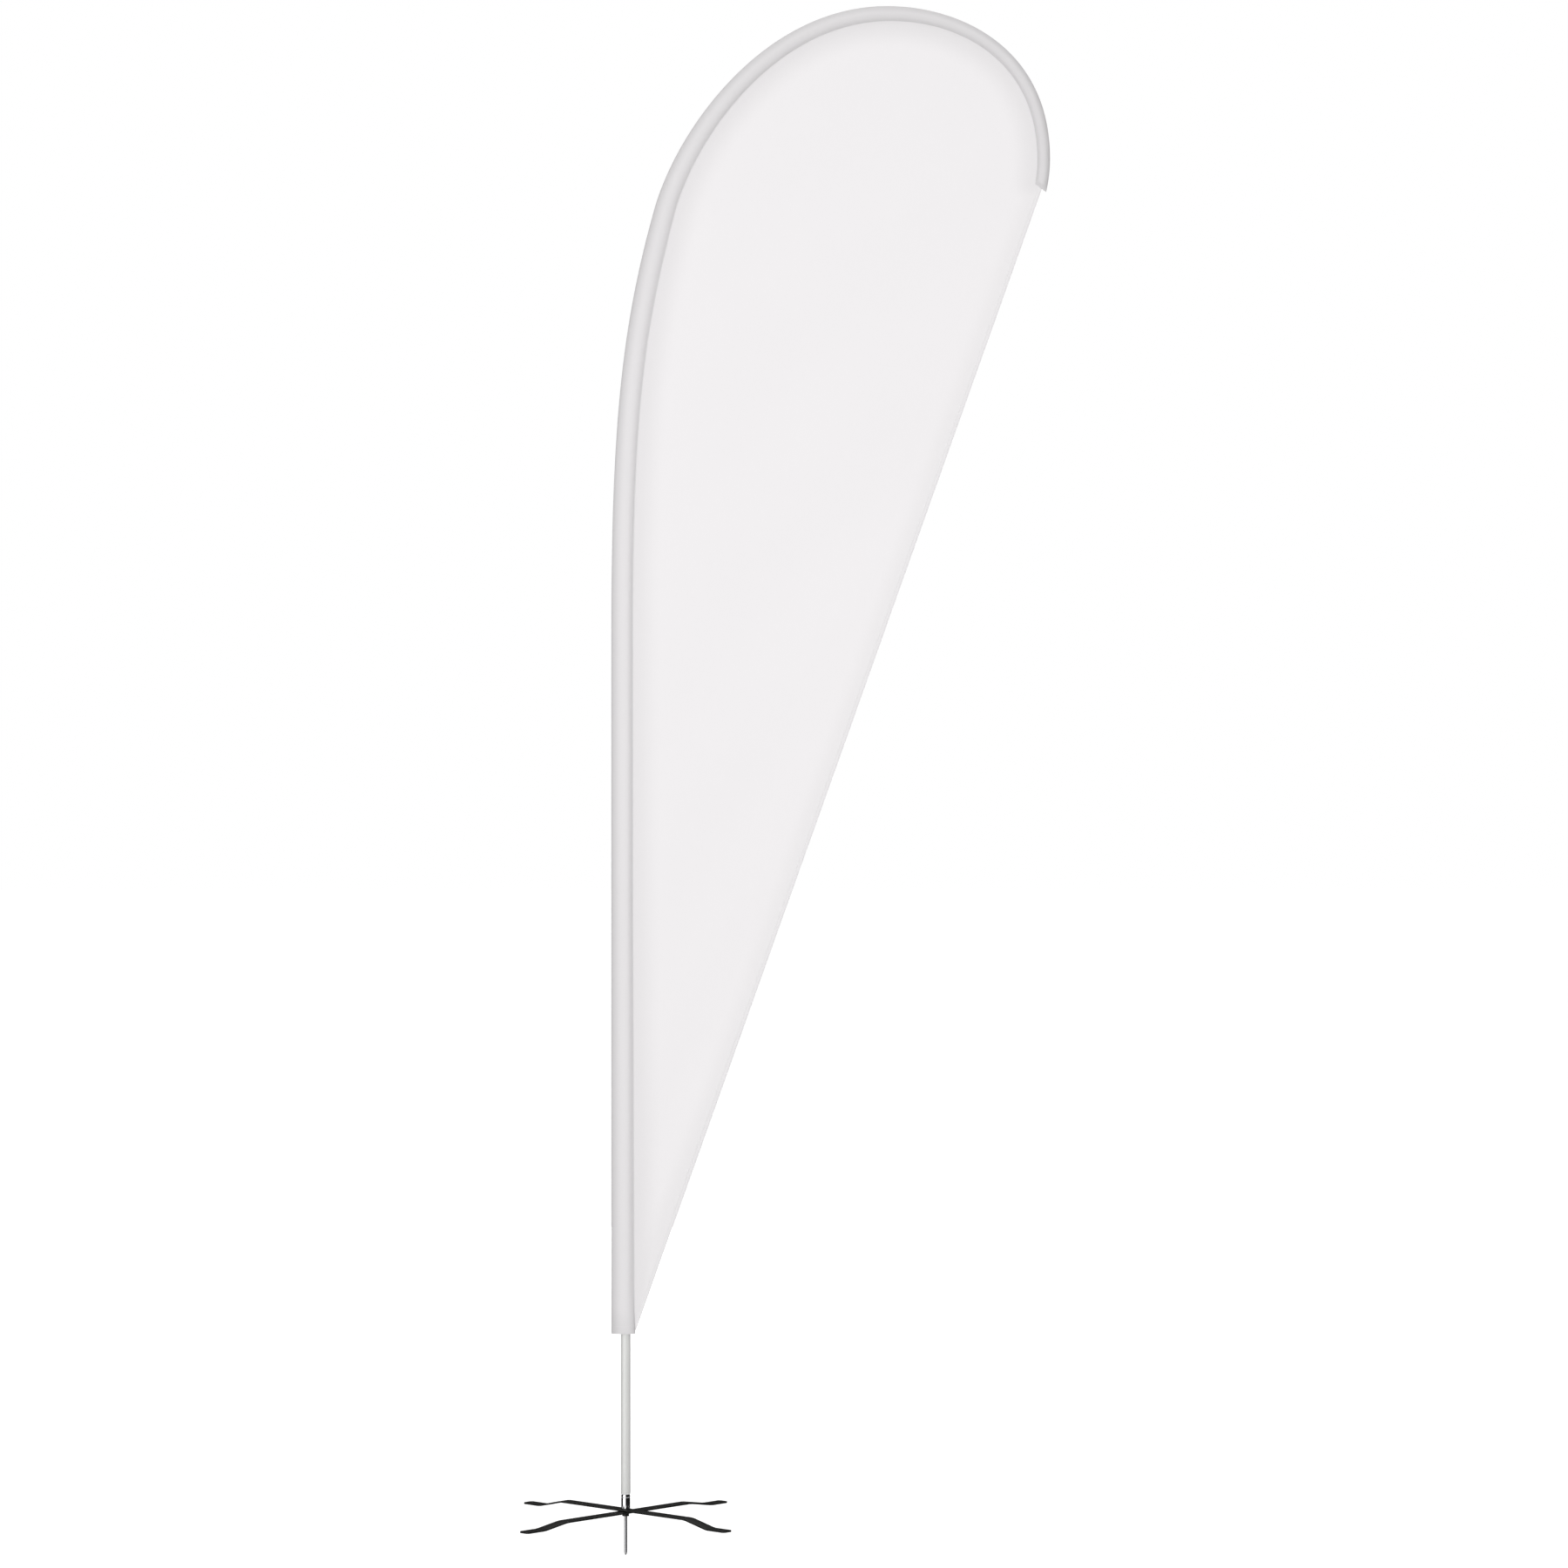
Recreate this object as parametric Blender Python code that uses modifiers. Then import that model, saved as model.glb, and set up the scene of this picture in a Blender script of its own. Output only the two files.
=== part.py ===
"""Teardrop flag on a jointed pole, a turning spindle and a folding cross base with a ground spike.

Metres, +Z up. The origin is ground level on the spindle's axis. The flag flies towards +X, in the
plane y = 0. The four legs stand round the spindle, and the spike goes down into the soil.
"""

import math

import bmesh
import bpy
import numpy as np

# ---------------------------------------------------------------- driving dimensions, metres

GAP = 0.0003                 # left between pieces that touch or slide on each other

# Folding cross base: two flat bars, one over the other.
LEG_FLAT = 0.231             # spindle axis to the first bend
LEG_DROP_RUN = 0.079         # first bend to the second, measured along the ground
LEG_FOOT = 0.065             # length of the foot that lies on the ground
LEG_WIDTH = 0.035
LEG_THICK = 0.0045
LEG_CORNER = 0.010           # radius of a foot's two corners
HUB_HEIGHT = 0.0122          # ground to the underside of the lower bar
LOWER_BAR_TURN = math.radians(46.9)
UPPER_BAR_TURN = math.radians(-43.1)
FOLD_WASHER_RADIUS = 0.0150
FOLD_WASHER_THICK = 0.0007

# Hub: the nut under the bars, the spike in the nut and the stud that everything turns on.
NUT_ACROSS_FLATS = 0.0184
NUT_HEIGHT = 0.0073
SPIKE_RADIUS = 0.0040
SPIKE_DEPTH = 0.0990         # ground level to the spike's tip
SPIKE_POINT = 0.0080         # length of the pointed end
SPIKE_GRIP = 0.0036          # length of the spike that is screwed into the nut
STUD_RADIUS = 0.0050
SCREW_RADIUS = 0.0025
SCREW_LENGTH = 0.0160
SCREW_HEAD_RADIUS = 0.0048
SCREW_HEAD_HEIGHT = 0.0040
SCREW_SOCKET = 0.0025        # radius of the hexagon socket's corners
THRUST_WASHER_RADIUS = 0.0105
THRUST_WASHER_THICK = 0.0012

# Spindle: the chrome barrel, its collar and the spigot that the pole stands on.
BARREL_RADIUS = 0.0117
BARREL_HEIGHT = 0.0285
BARREL_CORNER = 0.0012
SPIGOT_RADIUS = 0.0092
SPIGOT_LENGTH = 0.1300       # above the top of the barrel
SPIGOT_CHAMFER = 0.0006
SPINDLE_BORE = 0.0075        # radius of the bore that holds the bushes
SPINDLE_COUNTERBORE = 0.0081
COUNTERBORE_DEPTH = 0.0330   # from the spigot's top down to the upper bush's flange
BUSH_LENGTH = 0.0200
BUSH_FLANGE = 0.0012
RETAINING_WASHER_THICK = 0.0010
COLLAR_RADIUS = 0.0121
COLLAR_NECK = 0.0112         # radius of the groove under the bead
COLLAR_TOP_RADIUS = 0.0098
COLLAR_HEIGHT = 0.0089
COLLAR_GROOVE = 0.0022       # height of that groove
COLLAR_BEAD = 0.0020         # height of the bead's upright part

# Pole: two straight tubes, then two tapering rods that bend.
LOWER_TUBE_RADIUS = 0.0125
LOWER_TUBE_WALL = 0.0015
LOWER_TUBE_LENGTH = 1.1000
END_BUSH_INSET = 0.0003      # the bush's lip inside the tube's outer face
END_BUSH_LIP = 0.0032
END_BUSH_DEPTH = 0.0240
GUIDE_BUSH_LENGTH = 0.0240
GUIDE_BUSH_DROP = 0.0080     # from the spigot's top down to the guide bush
MIDDLE_TUBE_WALL = 0.0013
TUBE_OVERLAP = 0.1000        # how far the middle tube goes into the lower one
ROD_OVERLAP = 0.0900         # how far the upper rod goes into the middle tube
STRAIGHT_SPARE = 0.1700      # between the middle tube's top and the start of the bend
STOP_COLLAR_HEIGHT = 0.0140
UPPER_STOP_COLLAR_LIP = 0.0011   # how far it stands out past the middle tube
UPPER_ROD_LENGTH = 1.4000
UPPER_ROD_TOP_RADIUS = 0.0060
FERRULE_LENGTH = 0.0700
FERRULE_WALL = 0.0010
TIP_ROD_END_RADIUS = 0.0035
TIP_CAP_RADIUS = 0.0050
TIP_CAP_LENGTH = 0.0180

# Flag: the sleeve's outer edge is a straight run and four Bezier curves, scaled to these two sizes.
SLEEVE_FOOT = 0.4860         # ground to the sleeve's lower end
FLAG_HEIGHT = 3.5050         # sleeve's lower end to the crown
FLAG_REACH = 1.1583          # sleeve's outer edge to the nose, level
SLEEVE_LEAD = 0.0378         # outer edge ahead of the pole's axis, on the straight run
BEND_START = 0.5276          # share of the height where the straight run ends
# Each curve: handle, handle, end, as shares of the reach and the height.
EDGE_CURVES = (
    ((0.0000, 0.6857), (0.0243, 0.7603), (0.0979, 0.8470)),   # to the shoulder
    ((0.1497, 0.9079), (0.3499, 1.0000), (0.6284, 1.0000)),   # to the crown
    ((0.7998, 1.0000), (1.0000, 0.9677), (1.0000, 0.8851)),   # to the nose
    ((1.0000, 0.8760), (0.9965, 0.8680), (0.9913, 0.8599)),   # to the sleeve's end
)
# Along the outer edge, as shares of its length: the sleeve's width and how much it stands off.
SLEEVE_STATIONS = (0.000, 0.013, 0.240, 0.627, 0.870, 1.000)
SLEEVE_WIDTHS = (0.0635, 0.0610, 0.0575, 0.0570, 0.0370, 0.0330)
SLEEVE_EASES = (0.0041, 0.0041, 0.0041, 0.0085, 0.0062, 0.0055)   # over the pole's radius there
SLEEVE_WALL = 0.0010
SLEEVE_END_SLANT = 0.0150    # the seam side ends this much before the outer edge
SLEEVE_END_WALL = 0.0030
GRIP_BAND_HEIGHT = 0.0250
TIP_POCKET_LENGTH = 0.0420
TIP_POCKET_FLOOR = 0.0030
TIP_POCKET_MARGIN = 0.0040   # between the pocket's mouth and the ring before it
TIP_POCKET_BORE_SHARE = 0.75 # share of the pocket's length that its bore takes
PANEL_THICK = 0.0010
PANEL_FOOT_RISE = 0.0095     # the panel's lowest corner above the sleeve's lower end
PANEL_FOOT_SPREAD = 0.0020   # width of the panel at that corner
PANEL_TOP_SHARE = 0.61       # where the trailing edge meets the sleeve's slanted end

# Facets.
TURNED_STEPS = 24
ROD_STEP = 0.045             # between the points of a bent rod
SLEEVE_SIDES = 14
SLEEVE_STRAIGHT_STEP = 0.350
SLEEVE_BEND_STEP = 0.055
EDGE_SAMPLES = 60            # points worked out on each Bezier curve

# ---------------------------------------------------------------- heights that follow from them

LOWER_BAR_TOP = HUB_HEIGHT + LEG_THICK
FOLD_WASHER_BASE = LOWER_BAR_TOP + GAP
UPPER_BAR_BASE = FOLD_WASHER_BASE + FOLD_WASHER_THICK + GAP
UPPER_BAR_TOP = UPPER_BAR_BASE + LEG_THICK
NUT_TOP = HUB_HEIGHT - GAP
NUT_BASE = NUT_TOP - NUT_HEIGHT
SPIKE_TOP = NUT_BASE + SPIKE_GRIP
STUD_BASE = SPIKE_TOP + 2 * GAP
THRUST_WASHER_BASE = UPPER_BAR_TOP + GAP
BARREL_BASE = THRUST_WASHER_BASE + THRUST_WASHER_THICK + GAP
BARREL_TOP = BARREL_BASE + BARREL_HEIGHT
SPIGOT_TOP = BARREL_TOP + SPIGOT_LENGTH
BUSH_SHELF = SPIGOT_TOP - COUNTERBORE_DEPTH
UPPER_BUSH_TOP = BUSH_SHELF + GAP + BUSH_FLANGE
STUD_TOP = UPPER_BUSH_TOP
RETAINING_WASHER_BASE = STUD_TOP + GAP
SCREW_HEAD_BASE = RETAINING_WASHER_BASE + RETAINING_WASHER_THICK + GAP
COLLAR_BASE = BARREL_TOP + GAP
COLLAR_TOP = COLLAR_BASE + COLLAR_HEIGHT
END_BUSH_BASE = COLLAR_TOP + GAP
LOWER_TUBE_BASE = END_BUSH_BASE + END_BUSH_LIP + GAP
LOWER_TUBE_TOP = LOWER_TUBE_BASE + LOWER_TUBE_LENGTH
LOWER_TUBE_BORE = LOWER_TUBE_RADIUS - LOWER_TUBE_WALL
MIDDLE_TUBE_RADIUS = LOWER_TUBE_BORE - GAP
MIDDLE_TUBE_BORE = MIDDLE_TUBE_RADIUS - MIDDLE_TUBE_WALL
MIDDLE_TUBE_BASE = LOWER_TUBE_TOP - TUBE_OVERLAP
BEND_HEIGHT = SLEEVE_FOOT + BEND_START * FLAG_HEIGHT
MIDDLE_TUBE_TOP = BEND_HEIGHT - STRAIGHT_SPARE
UPPER_ROD_RADIUS = MIDDLE_TUBE_BORE - GAP
UPPER_ROD_BASE = MIDDLE_TUBE_TOP - ROD_OVERLAP
END_BUSH_RADIUS = LOWER_TUBE_RADIUS - END_BUSH_INSET
STOP_COLLAR_BASE = LOWER_TUBE_TOP + GAP
UPPER_STOP_COLLAR_BASE = MIDDLE_TUBE_TOP + GAP
UPPER_STOP_COLLAR_RADIUS = MIDDLE_TUBE_RADIUS + UPPER_STOP_COLLAR_LIP
POLE_RADII = (LOWER_TUBE_RADIUS,) * 3 + (UPPER_ROD_TOP_RADIUS,) + (TIP_CAP_RADIUS,) * 2


# ---------------------------------------------------------------- scene helpers

def clear_scene():
    for piece in list(bpy.data.objects):
        bpy.data.objects.remove(piece, do_unlink=True)


def collection(name):
    made = bpy.data.collections.new(name)
    bpy.context.scene.collection.children.link(made)
    return made


def material(name, colour, roughness, metallic=0.0):
    made = bpy.data.materials.new(name)
    made.use_nodes = True
    shader = made.node_tree.nodes["Principled BSDF"]
    shader.inputs["Base Color"].default_value = (*colour, 1.0)
    shader.inputs["Roughness"].default_value = roughness
    shader.inputs["Metallic"].default_value = metallic
    return made


def carrier(name, height, parent=None):
    """An empty on the spindle's axis, at the height of a joint."""
    empty = bpy.data.objects.new(name, None)
    empty.empty_display_size = 0.05
    PARTS.objects.link(empty)
    hang(empty, parent, height)
    return empty


def height_of(empty):
    height = 0.0
    while empty is not None:
        height += empty.location.z
        empty = empty.parent
    return height


def hang(piece, parent, height=0.0):
    """Parents a piece and puts its own origin at this height on the spindle's axis."""
    piece.parent = parent
    piece.location.z = height - height_of(parent)


def add(name, data, finish, parent, height=0.0):
    piece = bpy.data.objects.new(name, data)
    PARTS.objects.link(piece)
    if finish is not None:
        data.materials.append(finish)
    hang(piece, parent, height)
    return piece


def smooth(mesh, angle=35.0):
    mesh.shade_smooth()
    mesh.set_sharp_from_angle(angle=math.radians(angle))


def turned(name, profile, finish, parent, height=0.0, steps=TURNED_STEPS, target=None):
    """A turned piece. The profile's (radius, height) points run down the outer side."""
    mesh = bpy.data.meshes.new(name)
    shape = bmesh.new()
    corners = [shape.verts.new((radius, 0.0, z)) for radius, z in profile]
    for first, second in zip(corners, corners[1:]):
        shape.edges.new((first, second))
    if profile[0][0] > 0.0:
        shape.edges.new((corners[-1], corners[0]))
    shape.to_mesh(mesh)
    shape.free()
    piece = bpy.data.objects.new(name, mesh)
    (target or PARTS).objects.link(piece)
    if finish is not None:
        mesh.materials.append(finish)
    hang(piece, parent, height)
    screw = piece.modifiers.new("Turn", "SCREW")
    screw.axis = "Z"
    screw.angle = 2.0 * math.pi
    screw.steps = steps
    screw.render_steps = steps
    screw.use_merge_vertices = True
    screw.merge_threshold = 0.00001
    screw.use_smooth_shade = True
    return piece


def ring_profile(inner, outer, base, top, corner=0.0):
    """A plain ring, with its two outer corners broken by a small chamfer."""
    if corner <= 0.0:
        return [(outer, top), (outer, base), (inner, base), (inner, top)]
    return [
        (outer - corner, top), (outer, top - corner), (outer, base + corner),
        (outer - corner, base), (inner, base), (inner, top),
    ]


def cut(piece, cutter):
    boolean = piece.modifiers.new("Cut " + cutter.name, "BOOLEAN")
    boolean.operation = "DIFFERENCE"
    boolean.solver = "EXACT"
    boolean.object = cutter


def cutter_from(piece):
    piece.hide_render = True
    piece.display_type = "WIRE"
    return piece


def prism(name, radius, base, top, sides):
    """A mesh of a round or many-sided bar between two heights."""
    mesh = bpy.data.meshes.new(name)
    shape = bmesh.new()
    made = bmesh.ops.create_cone(
        shape, cap_ends=True, segments=sides, radius1=radius, radius2=radius, depth=top - base)
    bmesh.ops.translate(shape, verts=made["verts"], vec=(0.0, 0.0, (top + base) / 2.0))
    shape.to_mesh(mesh)
    shape.free()
    return mesh


def bar_cutter(name, radius, base, top, sides=TURNED_STEPS):
    piece = bpy.data.objects.new(name, prism(name, radius, base, top, sides))
    CUTTERS.objects.link(piece)
    return cutter_from(piece)


def loft(name, outer, inner, finish, parent, closed=False):
    """A hollow sweep: rings of points outside and inside, open at the start.

    The end is open too, unless closed is set: then both last rings get a lid of their own.
    """
    mesh = bpy.data.meshes.new(name)
    shape = bmesh.new()
    rings = {}
    for side, loops in (("outer", outer), ("inner", inner)):
        rings[side] = [[shape.verts.new(point) for point in loop] for loop in loops]
    count = len(outer[0])

    def band(one, two):
        for i in range(count):
            j = (i + 1) % count
            shape.faces.new((one[i], one[j], two[j], two[i]))

    for skin in rings.values():
        for one, two in zip(skin, skin[1:]):
            band(one, two)
    band(rings["inner"][0], rings["outer"][0])
    if closed:
        shape.faces.new(rings["outer"][-1])
        shape.faces.new(rings["inner"][-1])
    else:
        band(rings["outer"][-1], rings["inner"][-1])
    bmesh.ops.recalc_face_normals(shape, faces=shape.faces)
    shape.to_mesh(mesh)
    shape.free()
    smooth(mesh)
    return add(name, mesh, finish, parent)


# ---------------------------------------------------------------- the flag's edge and the pole's line

def bezier(start, handle, second_handle, end, count):
    t = np.linspace(0.0, 1.0, count)[1:, None]
    return ((1 - t) ** 3 * start + 3 * (1 - t) ** 2 * t * handle
            + 3 * (1 - t) * t ** 2 * second_handle + t ** 3 * end)


def edge_line():
    """The sleeve's outer edge as (x, z) points, from its lower end to its tip."""
    def place(shares):
        across, up = shares
        return np.array((across * FLAG_REACH - SLEEVE_LEAD, SLEEVE_FOOT + up * FLAG_HEIGHT))

    bend = place((0.0, BEND_START))
    straight = np.linspace(place((0.0, 0.0)), bend, EDGE_SAMPLES)
    runs = [straight]
    start = bend
    for handle, second_handle, end in EDGE_CURVES:
        runs.append(bezier(start, place(handle), place(second_handle), place(end), EDGE_SAMPLES))
        start = place(end)
    return np.vstack(runs)


def lengths_along(line):
    steps = np.linalg.norm(np.diff(line, axis=0), axis=1)
    return np.concatenate(([0.0], np.cumsum(steps)))


class Line:
    """A smooth line in the plane of the flag, read by the distance along it."""

    def __init__(self, points):
        self.points = np.asarray(points)
        self.reach = lengths_along(self.points)
        self.length = self.reach[-1]

    def at(self, distance):
        return np.array([np.interp(distance, self.reach, self.points[:, i]) for i in (0, 1)])

    def tangent(self, distance, span=0.004):
        low = max(0.0, distance - span)
        high = min(self.length, distance + span)
        step = self.at(high) - self.at(low)
        return step / np.linalg.norm(step)

    def inward(self, distance):
        """Across the line, to the side that the flag is on."""
        along = self.tangent(distance)
        return np.array((along[1], -along[0]))


def sleeve_width(distance):
    return float(np.interp(distance / EDGE.length, SLEEVE_STATIONS, SLEEVE_WIDTHS))


def sleeve_half_thickness(distance):
    thickness = [radius + ease for radius, ease in zip(POLE_RADII, SLEEVE_EASES)]
    return float(np.interp(distance / EDGE.length, SLEEVE_STATIONS, thickness))


def pole_inset(distance):
    """The pole's axis behind the outer edge: upright at first, then down the middle of the sleeve."""
    bend = BEND_START * FLAG_HEIGHT
    share = np.clip((distance - bend) / (EDGE.length * 0.25), 0.0, 1.0)
    share = share * share * (3.0 - 2.0 * share)
    return SLEEVE_LEAD * (1.0 - share) + sleeve_width(distance) / 2.0 * share


def pole_line():
    """The pole's axis from the foot of the lower tube to the sleeve's end."""
    distances = np.linspace(0.0, EDGE.length, 8 * EDGE_SAMPLES)
    bent = [EDGE.at(d) + EDGE.inward(d) * pole_inset(d) for d in distances]
    return np.vstack(([(0.0, LOWER_TUBE_BASE)], bent))


EDGE = Line(edge_line())
POLE = Line(pole_line())
TIP_ROD_STOP = POLE.length - SLEEVE_END_SLANT - SLEEVE_END_WALL - 2 * GAP - TIP_POCKET_FLOOR - 2 * GAP


def stations(start, end, step):
    return np.linspace(start, end, max(2, math.ceil((end - start) / step) + 1))


def sleeve_ring(distance, shrink=0.0, slant=0.0):
    """One oval ring round the sleeve, drawn in by shrink all round, its seam side held back by slant."""
    width = sleeve_width(distance)
    middle = EDGE.at(distance) + EDGE.inward(distance) * width / 2.0
    across, along = EDGE.inward(distance), EDGE.tangent(distance)
    ring = []
    for i in range(SLEEVE_SIDES):
        turn = 2.0 * math.pi * i / SLEEVE_SIDES
        side = math.cos(turn) * (width / 2.0 - shrink)
        back = slant * (side / width + 0.5)
        x, z = middle + across * side - along * back
        ring.append((x, math.sin(turn) * (sleeve_half_thickness(distance) - shrink), z))
    return ring


def pole_ring(distance, radius, bore=False):
    """A round ring about the pole's axis. A bore's flats lie on the radius, not its corners."""
    middle, across = POLE.at(distance), POLE.inward(distance)
    if bore:
        radius = radius / math.cos(math.pi / SLEEVE_SIDES)
    ring = []
    for i in range(SLEEVE_SIDES):
        turn = 2.0 * math.pi * i / SLEEVE_SIDES
        x, z = middle + across * math.cos(turn) * radius
        ring.append((x, math.sin(turn) * radius, z))
    return ring


# ---------------------------------------------------------------- base

def leg_half_width(reach, end):
    """Half the bar's width at this distance from the hub, with the foot's corners rounded."""
    inset = reach - (end - LEG_CORNER)
    if inset <= 0.0:
        return LEG_WIDTH / 2.0
    return LEG_WIDTH / 2.0 - LEG_CORNER + math.sqrt(max(0.0, LEG_CORNER ** 2 - inset ** 2))


def leg_bar(name, base, turn, finish, parent):
    """One bar across the hub: flat, sloping down to each foot, and flat on the ground."""
    end = LEG_FLAT + LEG_DROP_RUN + LEG_FOOT
    corner = [end - LEG_CORNER * (1.0 - math.sin(math.radians(a))) for a in (0, 30, 60, 90)]
    half = [LEG_FLAT, LEG_FLAT + LEG_DROP_RUN] + corner
    heights = dict.fromkeys(half, 0.0)
    heights[LEG_FLAT] = base
    mesh = bpy.data.meshes.new(name)
    shape = bmesh.new()
    rows = []
    for reach in [-r for r in reversed(half)] + half:
        wide = leg_half_width(abs(reach), end)
        z = heights[abs(reach)] - base
        rows.append([shape.verts.new((reach, side * wide, z)) for side in (-1, 1)])
    for one, two in zip(rows, rows[1:]):
        shape.faces.new((one[0], two[0], two[1], one[1]))
    shape.to_mesh(mesh)
    shape.free()
    bar = add(name, mesh, finish, parent, base)
    bar.rotation_euler.z = turn
    plate = bar.modifiers.new("Plate", "SOLIDIFY")
    plate.thickness = LEG_THICK
    plate.offset = 1.0
    plate.use_even_offset = True
    hole = bar_cutter(name + "_hole", STUD_RADIUS + GAP, -LEG_THICK, 2 * LEG_THICK)
    hole.parent = bar
    cut(bar, hole)
    return bar


def base_pieces(finish, hub_axis, fold_axis):
    leg_bar("lower_leg_bar", HUB_HEIGHT, LOWER_BAR_TURN, finish["black"], hub_axis)
    leg_bar("upper_leg_bar", UPPER_BAR_BASE, UPPER_BAR_TURN, finish["black"], fold_axis)
    bore = STUD_RADIUS + GAP
    turned("fold_washer",
           ring_profile(bore, FOLD_WASHER_RADIUS, 0.0, FOLD_WASHER_THICK),
           finish["nylon"], hub_axis, FOLD_WASHER_BASE)
    turned("thrust_washer",
           ring_profile(bore, THRUST_WASHER_RADIUS, 0.0, THRUST_WASHER_THICK),
           finish["nylon"], hub_axis, THRUST_WASHER_BASE)
    hub_nut(finish["black"], hub_axis)
    turned("ground_spike",
           [(0.0, SPIKE_TOP), (SPIKE_RADIUS, SPIKE_TOP),
            (SPIKE_RADIUS, SPIKE_POINT - SPIKE_DEPTH), (0.0, -SPIKE_DEPTH)],
           finish["steel"], hub_axis, steps=16)
    pivot_stud(finish["steel"], hub_axis)
    retaining_screw(finish["steel"], hub_axis)


def hub_nut(finish, parent):
    corner_radius = NUT_ACROSS_FLATS / 2.0 / math.cos(math.pi / 6.0)
    nut = add("hub_nut", prism("hub_nut", corner_radius, NUT_BASE, NUT_TOP, 6), finish, parent)
    edges = nut.modifiers.new("Edges", "BEVEL")
    edges.width = 0.0006
    edges.segments = 1
    cut(nut, bar_cutter("hub_nut_spike_bore", SPIKE_RADIUS + GAP, NUT_BASE - 0.01, NUT_TOP + 0.01, 16))
    cut(nut, bar_cutter("hub_nut_stud_bore", STUD_RADIUS + GAP, STUD_BASE - GAP, NUT_TOP + 0.01))


def pivot_stud(finish, parent):
    """The upright that carries the turning spindle. Its top is drilled for the retaining screw."""
    hole = SCREW_RADIUS + GAP
    floor = STUD_TOP - SCREW_LENGTH - 2 * GAP
    turned("pivot_stud",
           [(0.0, floor), (hole, floor), (hole, STUD_TOP), (STUD_RADIUS, STUD_TOP),
            (STUD_RADIUS, STUD_BASE), (0.0, STUD_BASE)],
           finish, parent)


def retaining_screw(finish, parent):
    bore = SCREW_RADIUS + GAP
    turned("retaining_washer",
           ring_profile(bore, SPINDLE_COUNTERBORE - 2 * GAP, 0.0, RETAINING_WASHER_THICK),
           finish, parent, RETAINING_WASHER_BASE)
    top = SCREW_HEAD_BASE + SCREW_HEAD_HEIGHT
    screw = turned("retaining_screw",
                   [(0.0, top), (SCREW_HEAD_RADIUS, top), (SCREW_HEAD_RADIUS, SCREW_HEAD_BASE),
                    (SCREW_RADIUS, SCREW_HEAD_BASE), (SCREW_RADIUS, STUD_TOP - SCREW_LENGTH),
                    (0.0, STUD_TOP - SCREW_LENGTH)],
                   finish, parent)
    cut(screw, bar_cutter("screw_socket", SCREW_SOCKET, top - SCREW_HEAD_HEIGHT / 2, top + 0.01, 6))


# ---------------------------------------------------------------- spindle

def spindle_barrel(finish, parent):
    """Barrel and spigot in one turned piece, bored through for the bushes."""
    profile = [
        (SPIGOT_RADIUS - SPIGOT_CHAMFER, SPIGOT_TOP), (SPIGOT_RADIUS, SPIGOT_TOP - SPIGOT_CHAMFER),
        (SPIGOT_RADIUS, BARREL_TOP), (BARREL_RADIUS - BARREL_CORNER, BARREL_TOP),
        (BARREL_RADIUS, BARREL_TOP - BARREL_CORNER), (BARREL_RADIUS, BARREL_BASE),
        (SPINDLE_BORE, BARREL_BASE), (SPINDLE_BORE, BUSH_SHELF),
        (SPINDLE_COUNTERBORE, BUSH_SHELF), (SPINDLE_COUNTERBORE, SPIGOT_TOP),
    ]
    turned("spindle_barrel", profile, finish, parent)


def spindle_pieces(finish, parent):
    spindle_barrel(finish["chrome"], parent)
    bore = SPIGOT_RADIUS + GAP
    bead_base = COLLAR_BASE + COLLAR_GROOVE
    turned("spindle_collar",
           [(COLLAR_TOP_RADIUS, COLLAR_TOP), (COLLAR_RADIUS, bead_base + COLLAR_BEAD),
            (COLLAR_RADIUS, bead_base), (COLLAR_NECK, bead_base - 0.0004),
            (COLLAR_NECK, COLLAR_BASE), (bore, COLLAR_BASE), (bore, COLLAR_TOP)],
           finish["chrome"], parent)
    inner, outer = STUD_RADIUS + GAP, SPINDLE_BORE - GAP
    turned("lower_bush", ring_profile(inner, outer, 0.0, BUSH_LENGTH),
           finish["bronze"], parent, BARREL_BASE + GAP)
    flange = SPINDLE_COUNTERBORE - GAP
    shelf = BUSH_SHELF + GAP
    turned("upper_bush",
           [(flange, UPPER_BUSH_TOP), (flange, shelf), (outer, shelf),
            (outer, shelf - BUSH_LENGTH), (inner, shelf - BUSH_LENGTH), (inner, UPPER_BUSH_TOP)],
           finish["bronze"], parent)


# ---------------------------------------------------------------- pole

def lower_pole_pieces(finish, parent):
    turned("lower_tube",
           ring_profile(LOWER_TUBE_BORE, LOWER_TUBE_RADIUS, LOWER_TUBE_BASE, LOWER_TUBE_TOP),
           finish["silver"], parent)
    bore = SPIGOT_RADIUS + GAP
    plug = LOWER_TUBE_BORE - GAP
    lip = END_BUSH_BASE + END_BUSH_LIP
    turned("pole_end_bush",
           [(plug, END_BUSH_BASE + END_BUSH_DEPTH), (plug, lip), (END_BUSH_RADIUS, lip),
            (END_BUSH_RADIUS, END_BUSH_BASE + 0.0006), (END_BUSH_RADIUS - 0.0006, END_BUSH_BASE),
            (bore, END_BUSH_BASE), (bore, END_BUSH_BASE + END_BUSH_DEPTH)],
           finish["white"], parent)
    guide_top = SPIGOT_TOP - GUIDE_BUSH_DROP
    turned("pole_guide_bush",
           ring_profile(bore, plug, guide_top - GUIDE_BUSH_LENGTH, guide_top),
           finish["nylon"], parent)


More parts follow.
